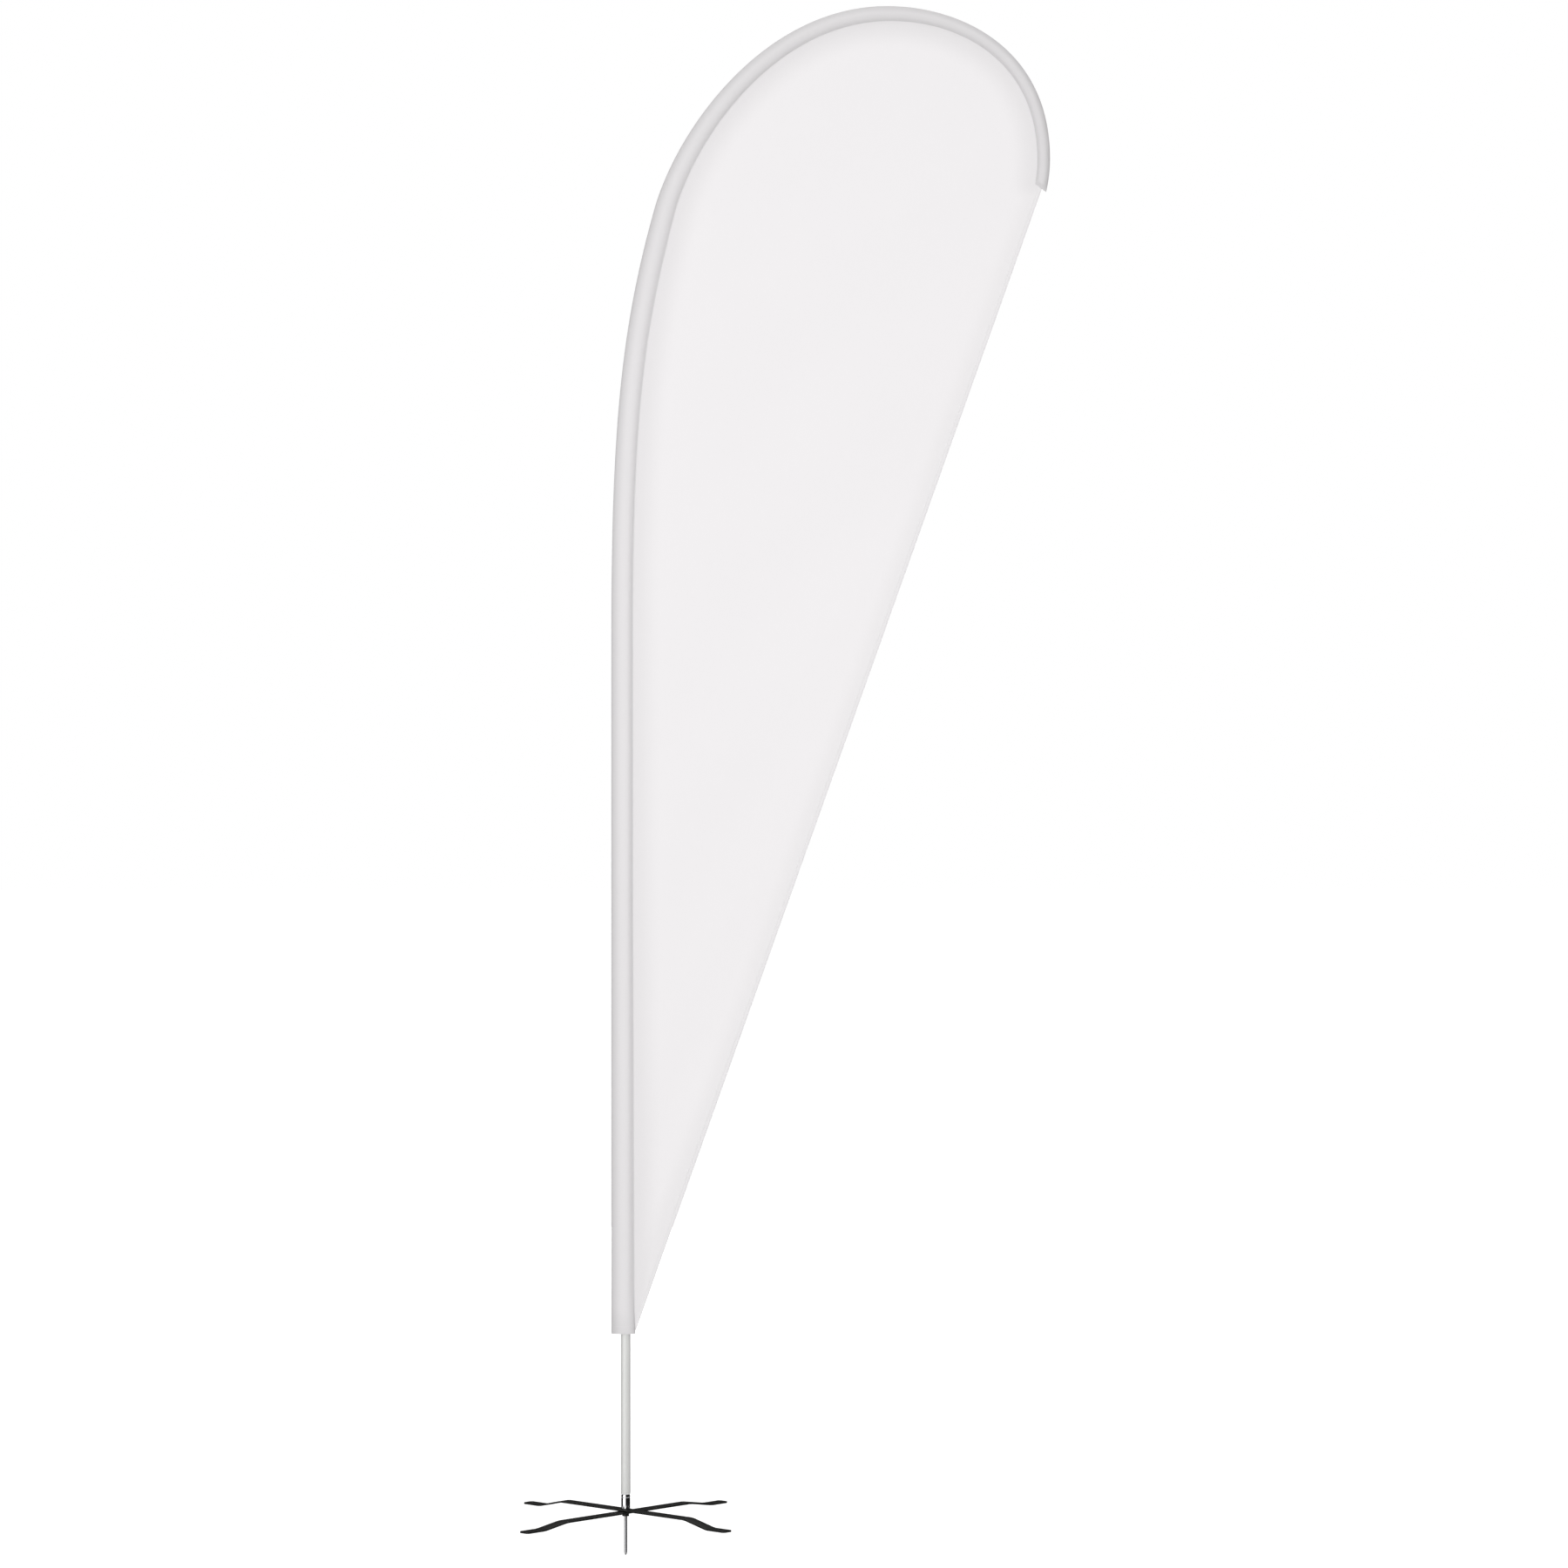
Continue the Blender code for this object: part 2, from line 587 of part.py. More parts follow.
def rod(name, start, end, start_radius, end_radius, finish, parent, last_run=0.0):
    """A tapering rod along the pole's line, between two distances from its foot.

    Its last run is one straight facet, where something is pushed over it.
    """
    curve = bpy.data.curves.new(name, "CURVE")
    curve.dimensions = "3D"
    curve.bevel_depth = start_radius
    curve.bevel_resolution = 3
    curve.use_fill_caps = True
    spline = curve.splines.new("POLY")
    places = stations(start, end - last_run, ROD_STEP)
    if last_run > 0.0:
        places = np.append(places, end)
    spline.points.add(len(places) - 1)
    for point, distance in zip(spline.points, places):
        x, z = POLE.at(distance)
        point.co = (x, 0.0, z, 1.0)
        share = (distance - start) / (end - start)
        point.radius = 1.0 + share * (end_radius / start_radius - 1.0)
    spline.use_smooth = True
    return add(name, curve, finish, parent)


def rod_radius(distance, start, end, start_radius, end_radius):
    return float(np.interp(distance, (start, end), (start_radius, end_radius)))


def upper_pole_pieces(finish, parent):
    turned("middle_tube",
           ring_profile(MIDDLE_TUBE_BORE, MIDDLE_TUBE_RADIUS, MIDDLE_TUBE_BASE, MIDDLE_TUBE_TOP),
           finish["silver"], parent)
    turned("middle_stop_collar",
           ring_profile(MIDDLE_TUBE_RADIUS + GAP, LOWER_TUBE_RADIUS,
                        STOP_COLLAR_BASE, STOP_COLLAR_BASE + STOP_COLLAR_HEIGHT, 0.001),
           finish["plastic"], parent)
    turned("upper_stop_collar",
           ring_profile(UPPER_ROD_RADIUS + GAP, UPPER_STOP_COLLAR_RADIUS,
                        UPPER_STOP_COLLAR_BASE, UPPER_STOP_COLLAR_BASE + STOP_COLLAR_HEIGHT, 0.001),
           finish["plastic"], parent)
    rod_start = UPPER_ROD_BASE - LOWER_TUBE_BASE
    rod_end = rod_start + UPPER_ROD_LENGTH
    rod("upper_rod", rod_start, rod_end, UPPER_ROD_RADIUS, UPPER_ROD_TOP_RADIUS,
        finish["fibreglass"], parent)
    tip_start = rod_end + 2 * GAP
    rod("tip_rod", tip_start, TIP_ROD_STOP, UPPER_ROD_TOP_RADIUS, TIP_ROD_END_RADIUS,
        finish["fibreglass"], parent, last_run=TIP_CAP_LENGTH)
    tip_ferrule(rod_end, finish["silver"], parent)
    tip_cap(finish["plastic"], parent)


def tip_ferrule(joint, finish, parent):
    """A short tube over the joint of the two rods, bent with them."""
    places = stations(joint - FERRULE_LENGTH / 2.0, joint + FERRULE_LENGTH / 2.0, ROD_STEP / 2.0)
    rod_start = joint - UPPER_ROD_LENGTH
    bore = [rod_radius(d, rod_start, joint, UPPER_ROD_RADIUS, UPPER_ROD_TOP_RADIUS) for d in places]
    bore = [radius + 2 * GAP for radius in bore]
    outside = max(bore) + FERRULE_WALL
    loft("tip_ferrule",
         [pole_ring(d, outside) for d in places],
         [pole_ring(d, radius, bore=True) for d, radius in zip(places, bore)],
         finish, parent)


def tip_cap(finish, parent):
    """A plastic cap over the thin end of the tip rod. It sits in the sleeve's pocket."""
    start = TIP_ROD_STOP - TIP_CAP_LENGTH
    end = TIP_ROD_STOP + 2 * GAP
    bore = TIP_ROD_END_RADIUS + 2 * GAP
    outer = [pole_ring(d, TIP_CAP_RADIUS) for d in (start, end, end + 2 * GAP)]
    inner = [pole_ring(d, bore, bore=True) for d in (start, TIP_ROD_STOP + GAP)]
    loft("tip_cap", outer, inner, finish, parent, closed=True)


# ---------------------------------------------------------------- flag

def sleeve_stations():
    """Where the sleeve has a ring. The last stretch holds the pocket and is one straight facet."""
    bend = BEND_START * FLAG_HEIGHT
    straight = stations(SLEEVE_STATIONS[1] * EDGE.length, bend, SLEEVE_STRAIGHT_STEP)
    pocket = EDGE.length - SLEEVE_END_WALL - TIP_POCKET_LENGTH - TIP_POCKET_MARGIN
    bent = stations(bend, pocket, SLEEVE_BEND_STEP)
    return np.concatenate(([0.0], straight, bent[1:], [EDGE.length]))


def flag_pieces(finish, parent):
    places = sleeve_stations()
    slants = [SLEEVE_END_SLANT if d == places[-1] else 0.0 for d in places]
    outer = [sleeve_ring(d, 0.0, slant) for d, slant in zip(places, slants)]
    inner_places = np.concatenate((places[:-1], [EDGE.length - SLEEVE_END_WALL]))
    inner = [sleeve_ring(d, SLEEVE_WALL, slant) for d, slant in zip(inner_places, slants)]
    loft("pole_sleeve", outer, inner, finish["sleeve_cloth"], parent, closed=True)
    grip_band(finish["elastic"], parent)
    tip_pocket(finish["webbing"], parent)
    flag_panel(finish["flag_cloth"], parent)


def grip_band(finish, parent):
    """An elastic band in the sleeve's lower end, which fills it round the lower tube."""
    places = (GAP, GRIP_BAND_HEIGHT)
    shrink = SLEEVE_WALL + GAP
    foot = SLEEVE_FOOT - LOWER_TUBE_BASE
    loft("sleeve_grip_band",
         [sleeve_ring(d, shrink) for d in places],
         [pole_ring(foot + d, LOWER_TUBE_RADIUS + GAP, bore=True) for d in places],
         finish, parent)


def tip_pocket(finish, parent):
    """A stitched pocket at the sleeve's end that takes the push of the bent tip rod."""
    shrink = SLEEVE_WALL + GAP
    start, end = sleeve_stations()[-2], EDGE.length - SLEEVE_END_WALL
    near = np.array(sleeve_ring(start, shrink))
    far = np.array(sleeve_ring(end, shrink, SLEEVE_END_SLANT))
    floor = 1.0 - 2 * GAP / (end - start)
    mouth = floor - TIP_POCKET_LENGTH / (end - start)
    outer = [near + (far - near) * share for share in (mouth, floor)]
    mouth_on_pole = TIP_ROD_STOP + 6 * GAP - TIP_POCKET_LENGTH * TIP_POCKET_BORE_SHARE
    inner = [pole_ring(d, TIP_CAP_RADIUS + 2 * GAP, bore=True)
             for d in (mouth_on_pole, TIP_ROD_STOP + 6 * GAP)]
    loft("tip_pocket", outer, inner, finish, parent, closed=True)


def panel_outline():
    """The panel's corners in order: up the seam, across under the sleeve's end, down the edge."""
    places = sleeve_stations()
    foot = PANEL_FOOT_RISE
    places = np.concatenate(([foot], places[places > 2 * foot]))
    seam = []
    for d in places:
        back = SLEEVE_END_SLANT if d == places[-1] else 0.0
        seam.append(EDGE.at(d) + EDGE.inward(d) * (sleeve_width(d) + GAP) - EDGE.tangent(d) * back)
    end = EDGE.length
    below = EDGE.tangent(end) * 3 * GAP
    seam_corner = EDGE.at(end) + EDGE.inward(end) * sleeve_width(end) - EDGE.tangent(end) * SLEEVE_END_SLANT
    edge_corner = EDGE.at(end)
    under_seam = seam_corner + below
    top = seam_corner + (edge_corner - seam_corner) * PANEL_TOP_SHARE + below
    bottom = seam[0] + np.array((PANEL_FOOT_SPREAD, 0.0))
    return seam + [under_seam, top, bottom]


def flag_panel(finish, parent):
    curve = bpy.data.curves.new("flag_panel", "CURVE")
    curve.dimensions = "2D"
    curve.fill_mode = "BOTH"
    curve.extrude = PANEL_THICK / 2.0
    outline = panel_outline()
    spline = curve.splines.new("POLY")
    spline.points.add(len(outline) - 1)
    for point, (x, z) in zip(spline.points, outline):
        point.co = (x, z, 0.0, 1.0)
    spline.use_cyclic_u = True
    panel = add("flag_panel", curve, finish, parent)
    panel.rotation_euler.x = math.pi / 2.0


# ---------------------------------------------------------------- assembly

def finishes():
    return {
        "black": material("black_powder_coat", (0.018, 0.018, 0.019), 0.45),
        "steel": material("bright_steel", (0.62, 0.62, 0.63), 0.22, 1.0),
        "chrome": material("polished_chrome", (0.78, 0.78, 0.79), 0.06, 1.0),
        "bronze": material("sintered_bronze", (0.45, 0.30, 0.14), 0.45, 1.0),
        "nylon": material("white_nylon", (0.70, 0.70, 0.68), 0.50),
        "silver": material("satin_aluminium", (0.72, 0.72, 0.71), 0.38, 0.6),
        "white": material("white_end_bush", (0.85, 0.86, 0.86), 0.35),
        "plastic": material("black_stop_plastic", (0.03, 0.03, 0.03), 0.50),
        "fibreglass": material("white_fibreglass", (0.75, 0.75, 0.72), 0.40),
        "sleeve_cloth": material("white_sleeve_cloth", (0.80, 0.79, 0.80), 0.85),
        "flag_cloth": material("white_flag_cloth", (0.88, 0.87, 0.88), 0.85),
        "elastic": material("white_elastic", (0.78, 0.78, 0.78), 0.90),
        "webbing": material("white_webbing", (0.74, 0.74, 0.74), 0.90),
    }


clear_scene()
PARTS = collection("teardrop_flag")
CUTTERS = collection("cutters")


def main():
    finish = finishes()
    hub_axis = carrier("hub_axis", 0.0)
    fold_axis = carrier("leg_fold_axis", UPPER_BAR_BASE, hub_axis)
    spin_axis = carrier("flag_spin_axis", BARREL_BASE, hub_axis)
    pole_axis = carrier("pole_lift_axis", END_BUSH_BASE, spin_axis)
    flag_axis = carrier("flag_lift_axis", LOWER_TUBE_TOP, pole_axis)
    base_pieces(finish, hub_axis, fold_axis)
    spindle_pieces(finish, spin_axis)
    lower_pole_pieces(finish, pole_axis)
    upper_pole_pieces(finish, flag_axis)
    flag_pieces(finish, flag_axis)


main()
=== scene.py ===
"""Looks of the teardrop flag, laid out as an add-on and run as a script.

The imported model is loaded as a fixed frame. Each operator models one piece or group of like
pieces round it, in metres, and every finish is made of nodes.
"""

import math

import bmesh
import bpy
import numpy as np
from bpy.props import FloatProperty, FloatVectorProperty, IntProperty, PointerProperty
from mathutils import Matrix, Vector


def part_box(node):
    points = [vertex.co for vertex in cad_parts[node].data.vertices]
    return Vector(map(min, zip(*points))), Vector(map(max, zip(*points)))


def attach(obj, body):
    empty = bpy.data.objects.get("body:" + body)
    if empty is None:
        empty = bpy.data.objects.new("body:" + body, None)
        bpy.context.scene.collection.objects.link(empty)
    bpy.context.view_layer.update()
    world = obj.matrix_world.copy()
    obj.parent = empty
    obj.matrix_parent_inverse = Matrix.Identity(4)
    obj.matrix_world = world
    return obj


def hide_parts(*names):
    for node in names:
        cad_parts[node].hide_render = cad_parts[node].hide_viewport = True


bl_info = {
    "name": "Teardrop flag",
    "version": (1, 0, 0),
    "blender": (4, 5, 0),
    "location": "View3D > Sidebar > Teardrop flag",
    "description": "Models the looks of a teardrop flag round its packed frame",
    "category": "Add Mesh",
}

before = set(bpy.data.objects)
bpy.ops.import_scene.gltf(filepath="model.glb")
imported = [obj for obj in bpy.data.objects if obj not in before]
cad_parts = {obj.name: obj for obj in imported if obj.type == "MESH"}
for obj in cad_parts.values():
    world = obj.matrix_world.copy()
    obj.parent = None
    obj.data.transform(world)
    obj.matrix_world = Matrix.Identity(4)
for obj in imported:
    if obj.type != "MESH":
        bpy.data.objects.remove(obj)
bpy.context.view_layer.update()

SLEEVE_LOW, SLEEVE_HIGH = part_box("pole_sleeve")
BARREL_LOW, BARREL_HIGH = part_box("spindle_barrel")
COLLAR_LOW, COLLAR_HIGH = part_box("spindle_collar")
TUBE_LOW, TUBE_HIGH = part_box("lower_tube")
BUSH_LOW, BUSH_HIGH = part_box("pole_end_bush")
NUT_LOW, NUT_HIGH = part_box("hub_nut")
SPIKE_LOW, SPIKE_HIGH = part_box("ground_spike")
STUD_LOW, STUD_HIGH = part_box("pivot_stud")

GAP = 0.0003                 # the clearance that the frame's pieces keep
WELD = 0.00001               # points this close are made one, and closer still in a sheet
SHEET_WELD = 0.000001
TURNED_STEPS = 64
SMOOTH_ANGLE = math.radians(32.0)

# The sleeve's outer edge: a straight run and four Bezier curves, as shares of the reach and height.
BEND_START = 0.5276
EDGE_CURVES = (
    ((0.0000, 0.6857), (0.0243, 0.7603), (0.0979, 0.8470)),
    ((0.1497, 0.9079), (0.3499, 1.0000), (0.6284, 1.0000)),
    ((0.7998, 1.0000), (1.0000, 0.9677), (1.0000, 0.8851)),
    ((1.0000, 0.8760), (0.9965, 0.8680), (0.9913, 0.8599)),
)
EDGE_SAMPLES = 90
# Along that edge, as shares of its length: the sleeve's width and how far it stands off.
SLEEVE_STATIONS = (0.000, 0.013, 0.240, 0.627, 0.870, 1.000)
SLEEVE_WIDTHS = (0.0635, 0.0610, 0.0575, 0.0570, 0.0370, 0.0330)
SLEEVE_HALF_THICKNESS = (0.0166, 0.0166, 0.0166, 0.0145, 0.0112, 0.0105)
SLEEVE_END_SLANT = 0.0150    # the seam side ends this much before the outer edge
SLEEVE_END_RUN = 0.0490      # length over which that slant comes in
SLEEVE_END_TAPER = 0.0160    # length over which the end is pressed flat
SEAM_FLANGE = 0.0016         # flat strip where the sleeve's two layers hold the panel
SEAM_TUCK = 0.0030           # how far the panel goes in between them
FLANGE_HALF = 0.0009         # half the thickness of that flat strip
FOOT_HEM = 0.0200            # height of the doubled hem at the sleeve's foot
FOOT_HEM_LIFT = 0.0004       # how far the hem's extra layer stands off
HEM_STEP = 0.0004            # half the height over which that lift comes in
GATHER_RUN = (0.02, 0.14)    # the round foot turns into the pinched section between these
SEAM_PINCH = 0.36            # how sharply the section closes at the seam, and at the fold
FOLD_PINCH = 0.12
PUCKER = (0.00035, 0.037)    # height and pitch of the small gathers beside the seam
CREASE = (0.00045, 0.083)    # and of the soft creases in the bent part
PANEL_FOOT_RISE = 0.0095     # the panel's foot starts this far above the sleeve's
PANEL_FOOT_SPREAD = 0.0020   # and is this wide
PANEL_TOP_SHARE = 0.61       # where the trailing edge meets the sleeve's slanted end
FREE_EDGE_WAVE = 0.003       # height of the wave in the free edge, and of the panel's ripple
PANEL_RIPPLE = 0.0012
FREE_EDGE_TONE = 0.6         # how dark the painted shade gets at the panel's free edge, with 1 at the seam
SEAM_FADE = 0.075            # how far from the seam, and from the free edge, the panel's painted shade reaches
FREE_FADE = 0.065
SLEEVE_SHADE = 0.80          # colour of the sleeve and of the panel under full painted shade,
PANEL_SHADE = 0.90           # as a share of their own
KNIT_GRAIN = 0.0012          # pitch of the knit's wales
STITCH_LENGTH = 0.75         # as a share of the stitch pitch
THREAD_THICKNESS = 0.00045
SEAM_ROWS = (0.0009, 0.0034)  # the two rows of stitches, from the seam
HEM_ROWS = (0.25, 0.82)      # and across the trailing hem, as shares of its width
FOOT_ROWS = (0.0035, FOOT_HEM - 0.003)
HEM_DEPTH = 0.0011           # half the thickness of the trailing hem
HEM_STITCH_LIFT = 0.00105    # how far its stitches stand off the panel's middle
WEBBING_THICKNESS = 0.0004
POCKET_RUN = (0.050, 0.004)  # the end pocket lies between these distances from the sleeve's end
BARREL_BORE = 0.0075
SPIGOT_BORE = 0.0081         # the guide bush sits in this wider bore
SPIGOT_BORE_DEPTH = 0.0330
TOE_RADIUS = 0.010           # the rounded corners at the end of each bar
RUBBED_STRIP = 0.0006        # the strip along a bar's edge where paint is rubbed
LOWER_BAR_TURN = math.radians(46.9)
UPPER_BAR_TURN = math.radians(-43.1)
WHITE = (1.0, 1.0, 1.0, 1.0)
EVEN_LIGHT = 0.46            # light from all around on everything that isn't polished


# ---------------------------------------------------------------- properties

def length_setting(name, description, default, **limits):
    return FloatProperty(
        name=name, description=description, default=default, unit="LENGTH", **limits)


def colour_setting(name, description, default):
    return FloatVectorProperty(
        name=name, description=description, default=default, subtype="COLOR", min=0.0, max=1.0)


def count_setting(name, description, default, least):
    return IntProperty(name=name, description=description, default=default, min=least)


class TeardropCloth(bpy.types.PropertyGroup):
    """Sizes and colours of the sleeve, the panel and their stitching."""

    panel_colour: colour_setting("Panel colour", "Colour of the flag's panel", (0.89, 0.872, 0.881))
    sleeve_colour: colour_setting("Sleeve colour", "Colour of the pole sleeve", (0.80, 0.783, 0.792))
    thread_colour: colour_setting("Thread colour", "Colour of the sewing thread", (0.74, 0.73, 0.74))
    cloth_thickness: length_setting("Cloth thickness", "Thickness of one layer of cloth", 0.0005,
                                    min=0.0002, max=0.001)
    billow: length_setting("Billow", "How far the panel's belly stands off its plane", 0.008,
                           min=0.0, max=0.01)
    hem_width: length_setting("Hem width", "Width of the folded hem on the trailing edge", 0.011,
                              min=0.004, max=0.02)
    stitch_pitch: length_setting("Stitch pitch", "Distance from one stitch to the next", 0.004,
                                 min=0.002, max=0.01)
    sleeve_rings: count_setting("Sleeve rings", "Rings of points along the sleeve", 760, 100)
    panel_rows: count_setting("Panel rows", "Rows of points up the panel", 520, 100)
    panel_columns: count_setting("Panel columns", "Points across the panel", 58, 10)


class TeardropPole(bpy.types.PropertyGroup):
    """Sizes and colours of the lower pole and the spindle."""

    tube_radius: length_setting("Tube radius", "Outer radius of the lower tube", TUBE_HIGH.x)
    tube_wall: length_setting("Tube wall", "Wall of the lower tube", 0.0015)
    tube_colour: colour_setting("Tube colour", "Colour of the satin tube", (0.745, 0.748, 0.732))
    barrel_radius: length_setting("Barrel radius", "Outer radius of the chrome barrel", BARREL_HIGH.x)
    spigot_radius: length_setting("Spigot radius", "Radius of the spigot under the pole", 0.0092)
    barrel_height: length_setting("Barrel height", "Height of the barrel under the collar",
                                  COLLAR_LOW.z - GAP - BARREL_LOW.z)


class TeardropBase(bpy.types.PropertyGroup):
    """Sizes and colours of the cross base and its spike."""

    leg_flat: length_setting("Level run", "From the spindle's axis to the bar's first bend", 0.231)
    leg_drop: length_setting("Sloping run", "From the first bend to the second, along the ground", 0.079)
    leg_foot: length_setting("Foot", "Length of the foot that lies on the ground", 0.065)
    leg_width: length_setting("Bar width", "Width of each bar", 0.035)
    leg_thick: length_setting("Bar thickness", "Thickness of each bar", 0.0045)
    bend_length: length_setting("Bend length", "Reach of each bend, either side of its corner", 0.009)
    paint_colour: colour_setting("Paint colour", "Colour of the powder coat", (0.006, 0.006, 0.0056))


class TeardropStage(bpy.types.PropertyGroup):
    """Floor, light and camera."""

    camera_place: FloatVectorProperty(
        name="Camera place", description="Where the camera stands", subtype="TRANSLATION",
        default=(0.418, -12.8, 1.937))
    lens: FloatProperty(
        name="Lens", description="Focal length of the camera, in millimetres", default=111.3)
    floor_size: length_setting("Floor size", "Side of the floor", 160.0)
    white: FloatProperty(
        name="White", description="Brightness of the plain background", default=1.0)


# ---------------------------------------------------------------- nodes

class Socket:
    """What comes out of a node. Python's operators add the nodes that work with it."""

    def __init__(self, tree, output):
        self.tree = tree
        self.output = output

    def __add__(self, other):
        return self.tree.maths("ADD", self, other)

    def __sub__(self, other):
        return self.tree.maths("SUBTRACT", self, other)

    def __rsub__(self, other):
        return self.tree.maths("SUBTRACT", other, self)

    def __mul__(self, other):
        return self.tree.maths("MULTIPLY", self, other)

    def wave(self, pitch):
        """From -1 to 1 and back in each pitch."""
        return self.tree.maths("SINE", self * (2.0 * math.pi / pitch), 0.0)

    __radd__ = __add__
    __rmul__ = __mul__


class NodeTree:
    """A node tree that is written one node at a time."""

    def __init__(self, tree):
        self.nodes = tree.nodes
        self.links = tree.links

    def node(self, kind, settings, values, output=0):
        """Adds a node: its settings are set first, then its sockets get values or links."""
        made = self.nodes.new("ShaderNode" + kind)
        for name, setting in settings.items():
            setattr(made, name, setting)
        for key, value in values.items():
            self.plug(made.inputs[key], value)
        return Socket(self, made.outputs[output])

    def plug(self, socket, value):
        if isinstance(value, Socket):
            self.links.new(value.output, socket)
        else:
            socket.default_value = value

    def maths(self, operation, first, second):
        return self.node("Math", {"operation": operation}, {0: first, 1: second})

    def blend(self, share, first, second):
        """A colour between two others."""
        return self.node("Mix", {"data_type": "RGBA"}, {0: share, 6: first, 7: second}, output=2)

    def step(self, value, low, high):
        """0 below low, 1 above high and smooth between."""
        return self.node("MapRange", {"interpolation_type": "SMOOTHSTEP"},
                         {"Value": value, "From Min": low, "From Max": high})

    def place(self, stretch=(1.0, 1.0, 1.0)):
        """The point on the object, in metres, stretched to shape a pattern."""
        point = self.node("TexCoord", {}, {}, output="Object")
        return self.node("Mapping", {}, {"Vector": point, "Scale": stretch})

    def parts(self, vector):
        """The three numbers of a vector."""
        split = self.node("SeparateXYZ", {}, {"Vector": vector})
        outputs = split.output.node.outputs
        return [Socket(self, outputs[i]) for i in range(3)]

    def cloud(self, vector, scale, detail=2.0):
        """Noise from 0 to 1."""
        return self.node("TexNoise", {}, {"Vector": vector, "Scale": scale, "Detail": detail})

    def grain(self, stretch, detail):
        """Noise on the object, finer along an axis with a larger stretch."""
        if isinstance(stretch, float):
            return self.cloud(self.place(), stretch, detail)
        return self.cloud(self.place(stretch), 1.0, detail)

    def mark(self, name):
        """A number that the mesh carries at each point."""
        return self.node("Attribute", {"attribute_name": name}, {}, output="Fac")


SHADER_WORDS = {
    "roughness": "Roughness", "metallic": "Metallic", "specular": "Specular IOR Level",
    "sheen": "Sheen Weight", "sheen_roughness": "Sheen Roughness", "coat": "Coat Weight",
    "glow": "Emission Strength",
}


def shade(colour, factor=1.0):
    """A colour made lighter or darker, with the alpha that sockets ask for."""
    return (*(channel * factor for channel in colour), 1.0)


class Finish(NodeTree):
    """A material with one Principled shader."""

    def __init__(self, name, **fixed):
        self.material = bpy.data.materials.new(name)
        self.material.use_nodes = True
        super().__init__(self.material.node_tree)
        self.shader = self.nodes["Principled BSDF"]
        for word, value in fixed.items():
            self.set(SHADER_WORDS[word], value)

    def set(self, socket, value):
        self.plug(self.shader.inputs[socket], value)

    def cover(self, tint, roughness, height, depth, strength=1.0):
        """Colours and roughens the surface, raises it by up to depth metres and ends the finish."""
        bump = {"Height": height, "Distance": depth, "Strength": strength}
        self.set("Base Color", tint)
        self.set("Roughness", roughness)
        self.set("Normal", self.node("Bump", {}, bump, output="Normal"))
        return self.material


# ---------------------------------------------------------------- finishes

def knit_finish(name, colour, edge_shade):
    """Warp-knitted polyester: fine wales and courses, with painted shade where the mesh marks it."""
    finish = Finish(name, sheen=0.12, sheen_roughness=0.4, specular=0.25)
    yarns = finish.node("UVMap", {"uv_map": "cloth"}, {})
    across, along, _ = finish.parts(yarns)
    loops = across.wave(KNIT_GRAIN) * along.wave(KNIT_GRAIN * 1.3) * 0.5 + 0.5
    fuzz = finish.cloud(yarns, 900.0, 3.0)
    drawn = finish.node("Mapping", {}, {"Vector": yarns, "Scale": (60.0, 6.0, 1.0)})
    slub = finish.cloud(drawn, 4.0)
    mottle = finish.cloud(yarns, 5.0, 3.0)
    plain = finish.blend(mottle * 0.5 + slub * 0.5, shade(colour, 0.985), shade(colour, 1.012))
    worked = finish.blend(loops * 0.5, plain, shade(colour, 0.97))
    # painted shade: the colour darkens towards edge_shade where the mesh's mark is full
    tint = finish.blend(finish.mark("painted_shade"), worked, shade(colour, edge_shade))
    return finish.cover(tint, fuzz * 0.14 + 0.76, loops * 0.6 + fuzz * 0.4, 0.00012, 0.35)


def thread_finish(colour):
    """Twisted polyester thread with a slight gloss."""
    finish = Finish("sewing_thread", specular=0.4)
    across, _, up = finish.parts(finish.place())
    twist = (across + up).wave(0.0007) * 0.5 + 0.5
    tint = finish.blend(twist, shade(colour, 0.86), shade(colour))
    return finish.cover(tint, twist * 0.15 + 0.45, twist, 0.00005)


def tube_finish(colour):
    """Satin tube: fine drawing lines along it, slightly cloudy, with a few scuffs."""
    finish = Finish("satin_aluminium", metallic=0.06, specular=0.22)
    lines = finish.grain((900.0, 900.0, 5.0), 4.0)
    cloudy = finish.grain((9.0, 9.0, 4.0), 3.0)
    scuffs = finish.step(finish.grain((260.0, 260.0, 40.0), 6.0), 0.66, 0.72)
    base = finish.blend(lines * 0.55 + cloudy * 0.45, shade(colour, 0.90), shade(colour, 1.08))
    tint = finish.blend(scuffs * 0.25, base, shade(colour, 0.7))
    return finish.cover(tint, lines * 0.18 + scuffs * 0.1 + 0.32, lines, 0.00002)


def chrome_finish():
    """Polished chrome with faint wiping marks."""
    finish = Finish("polished_chrome", metallic=1.0)
    smear = finish.grain((60.0, 60.0, 320.0), 4.0)
    haze = finish.grain((25.0, 25.0, 25.0), 3.0)
    tint = finish.blend(haze, (0.74, 0.74, 0.75, 1.0), (0.86, 0.86, 0.87, 1.0))
    return finish.cover(tint, smear * 0.07 + haze * 0.04 + 0.02, smear, 0.000004)


def steel_finish():
    """Turned steel: fine rings from the lathe and a few dull patches."""
    finish = Finish("bright_steel", metallic=1.0)
    rings = finish.grain((40.0, 40.0, 3200.0), 3.0)
    dull = finish.step(finish.grain((90.0, 90.0, 45.0), 5.0), 0.5, 0.72)
    tint = finish.blend(dull, (0.30, 0.30, 0.31, 1.0), (0.21, 0.205, 0.20, 1.0))
    return finish.cover(tint, rings * 0.10 + dull * 0.16 + 0.12, rings, 0.00001)


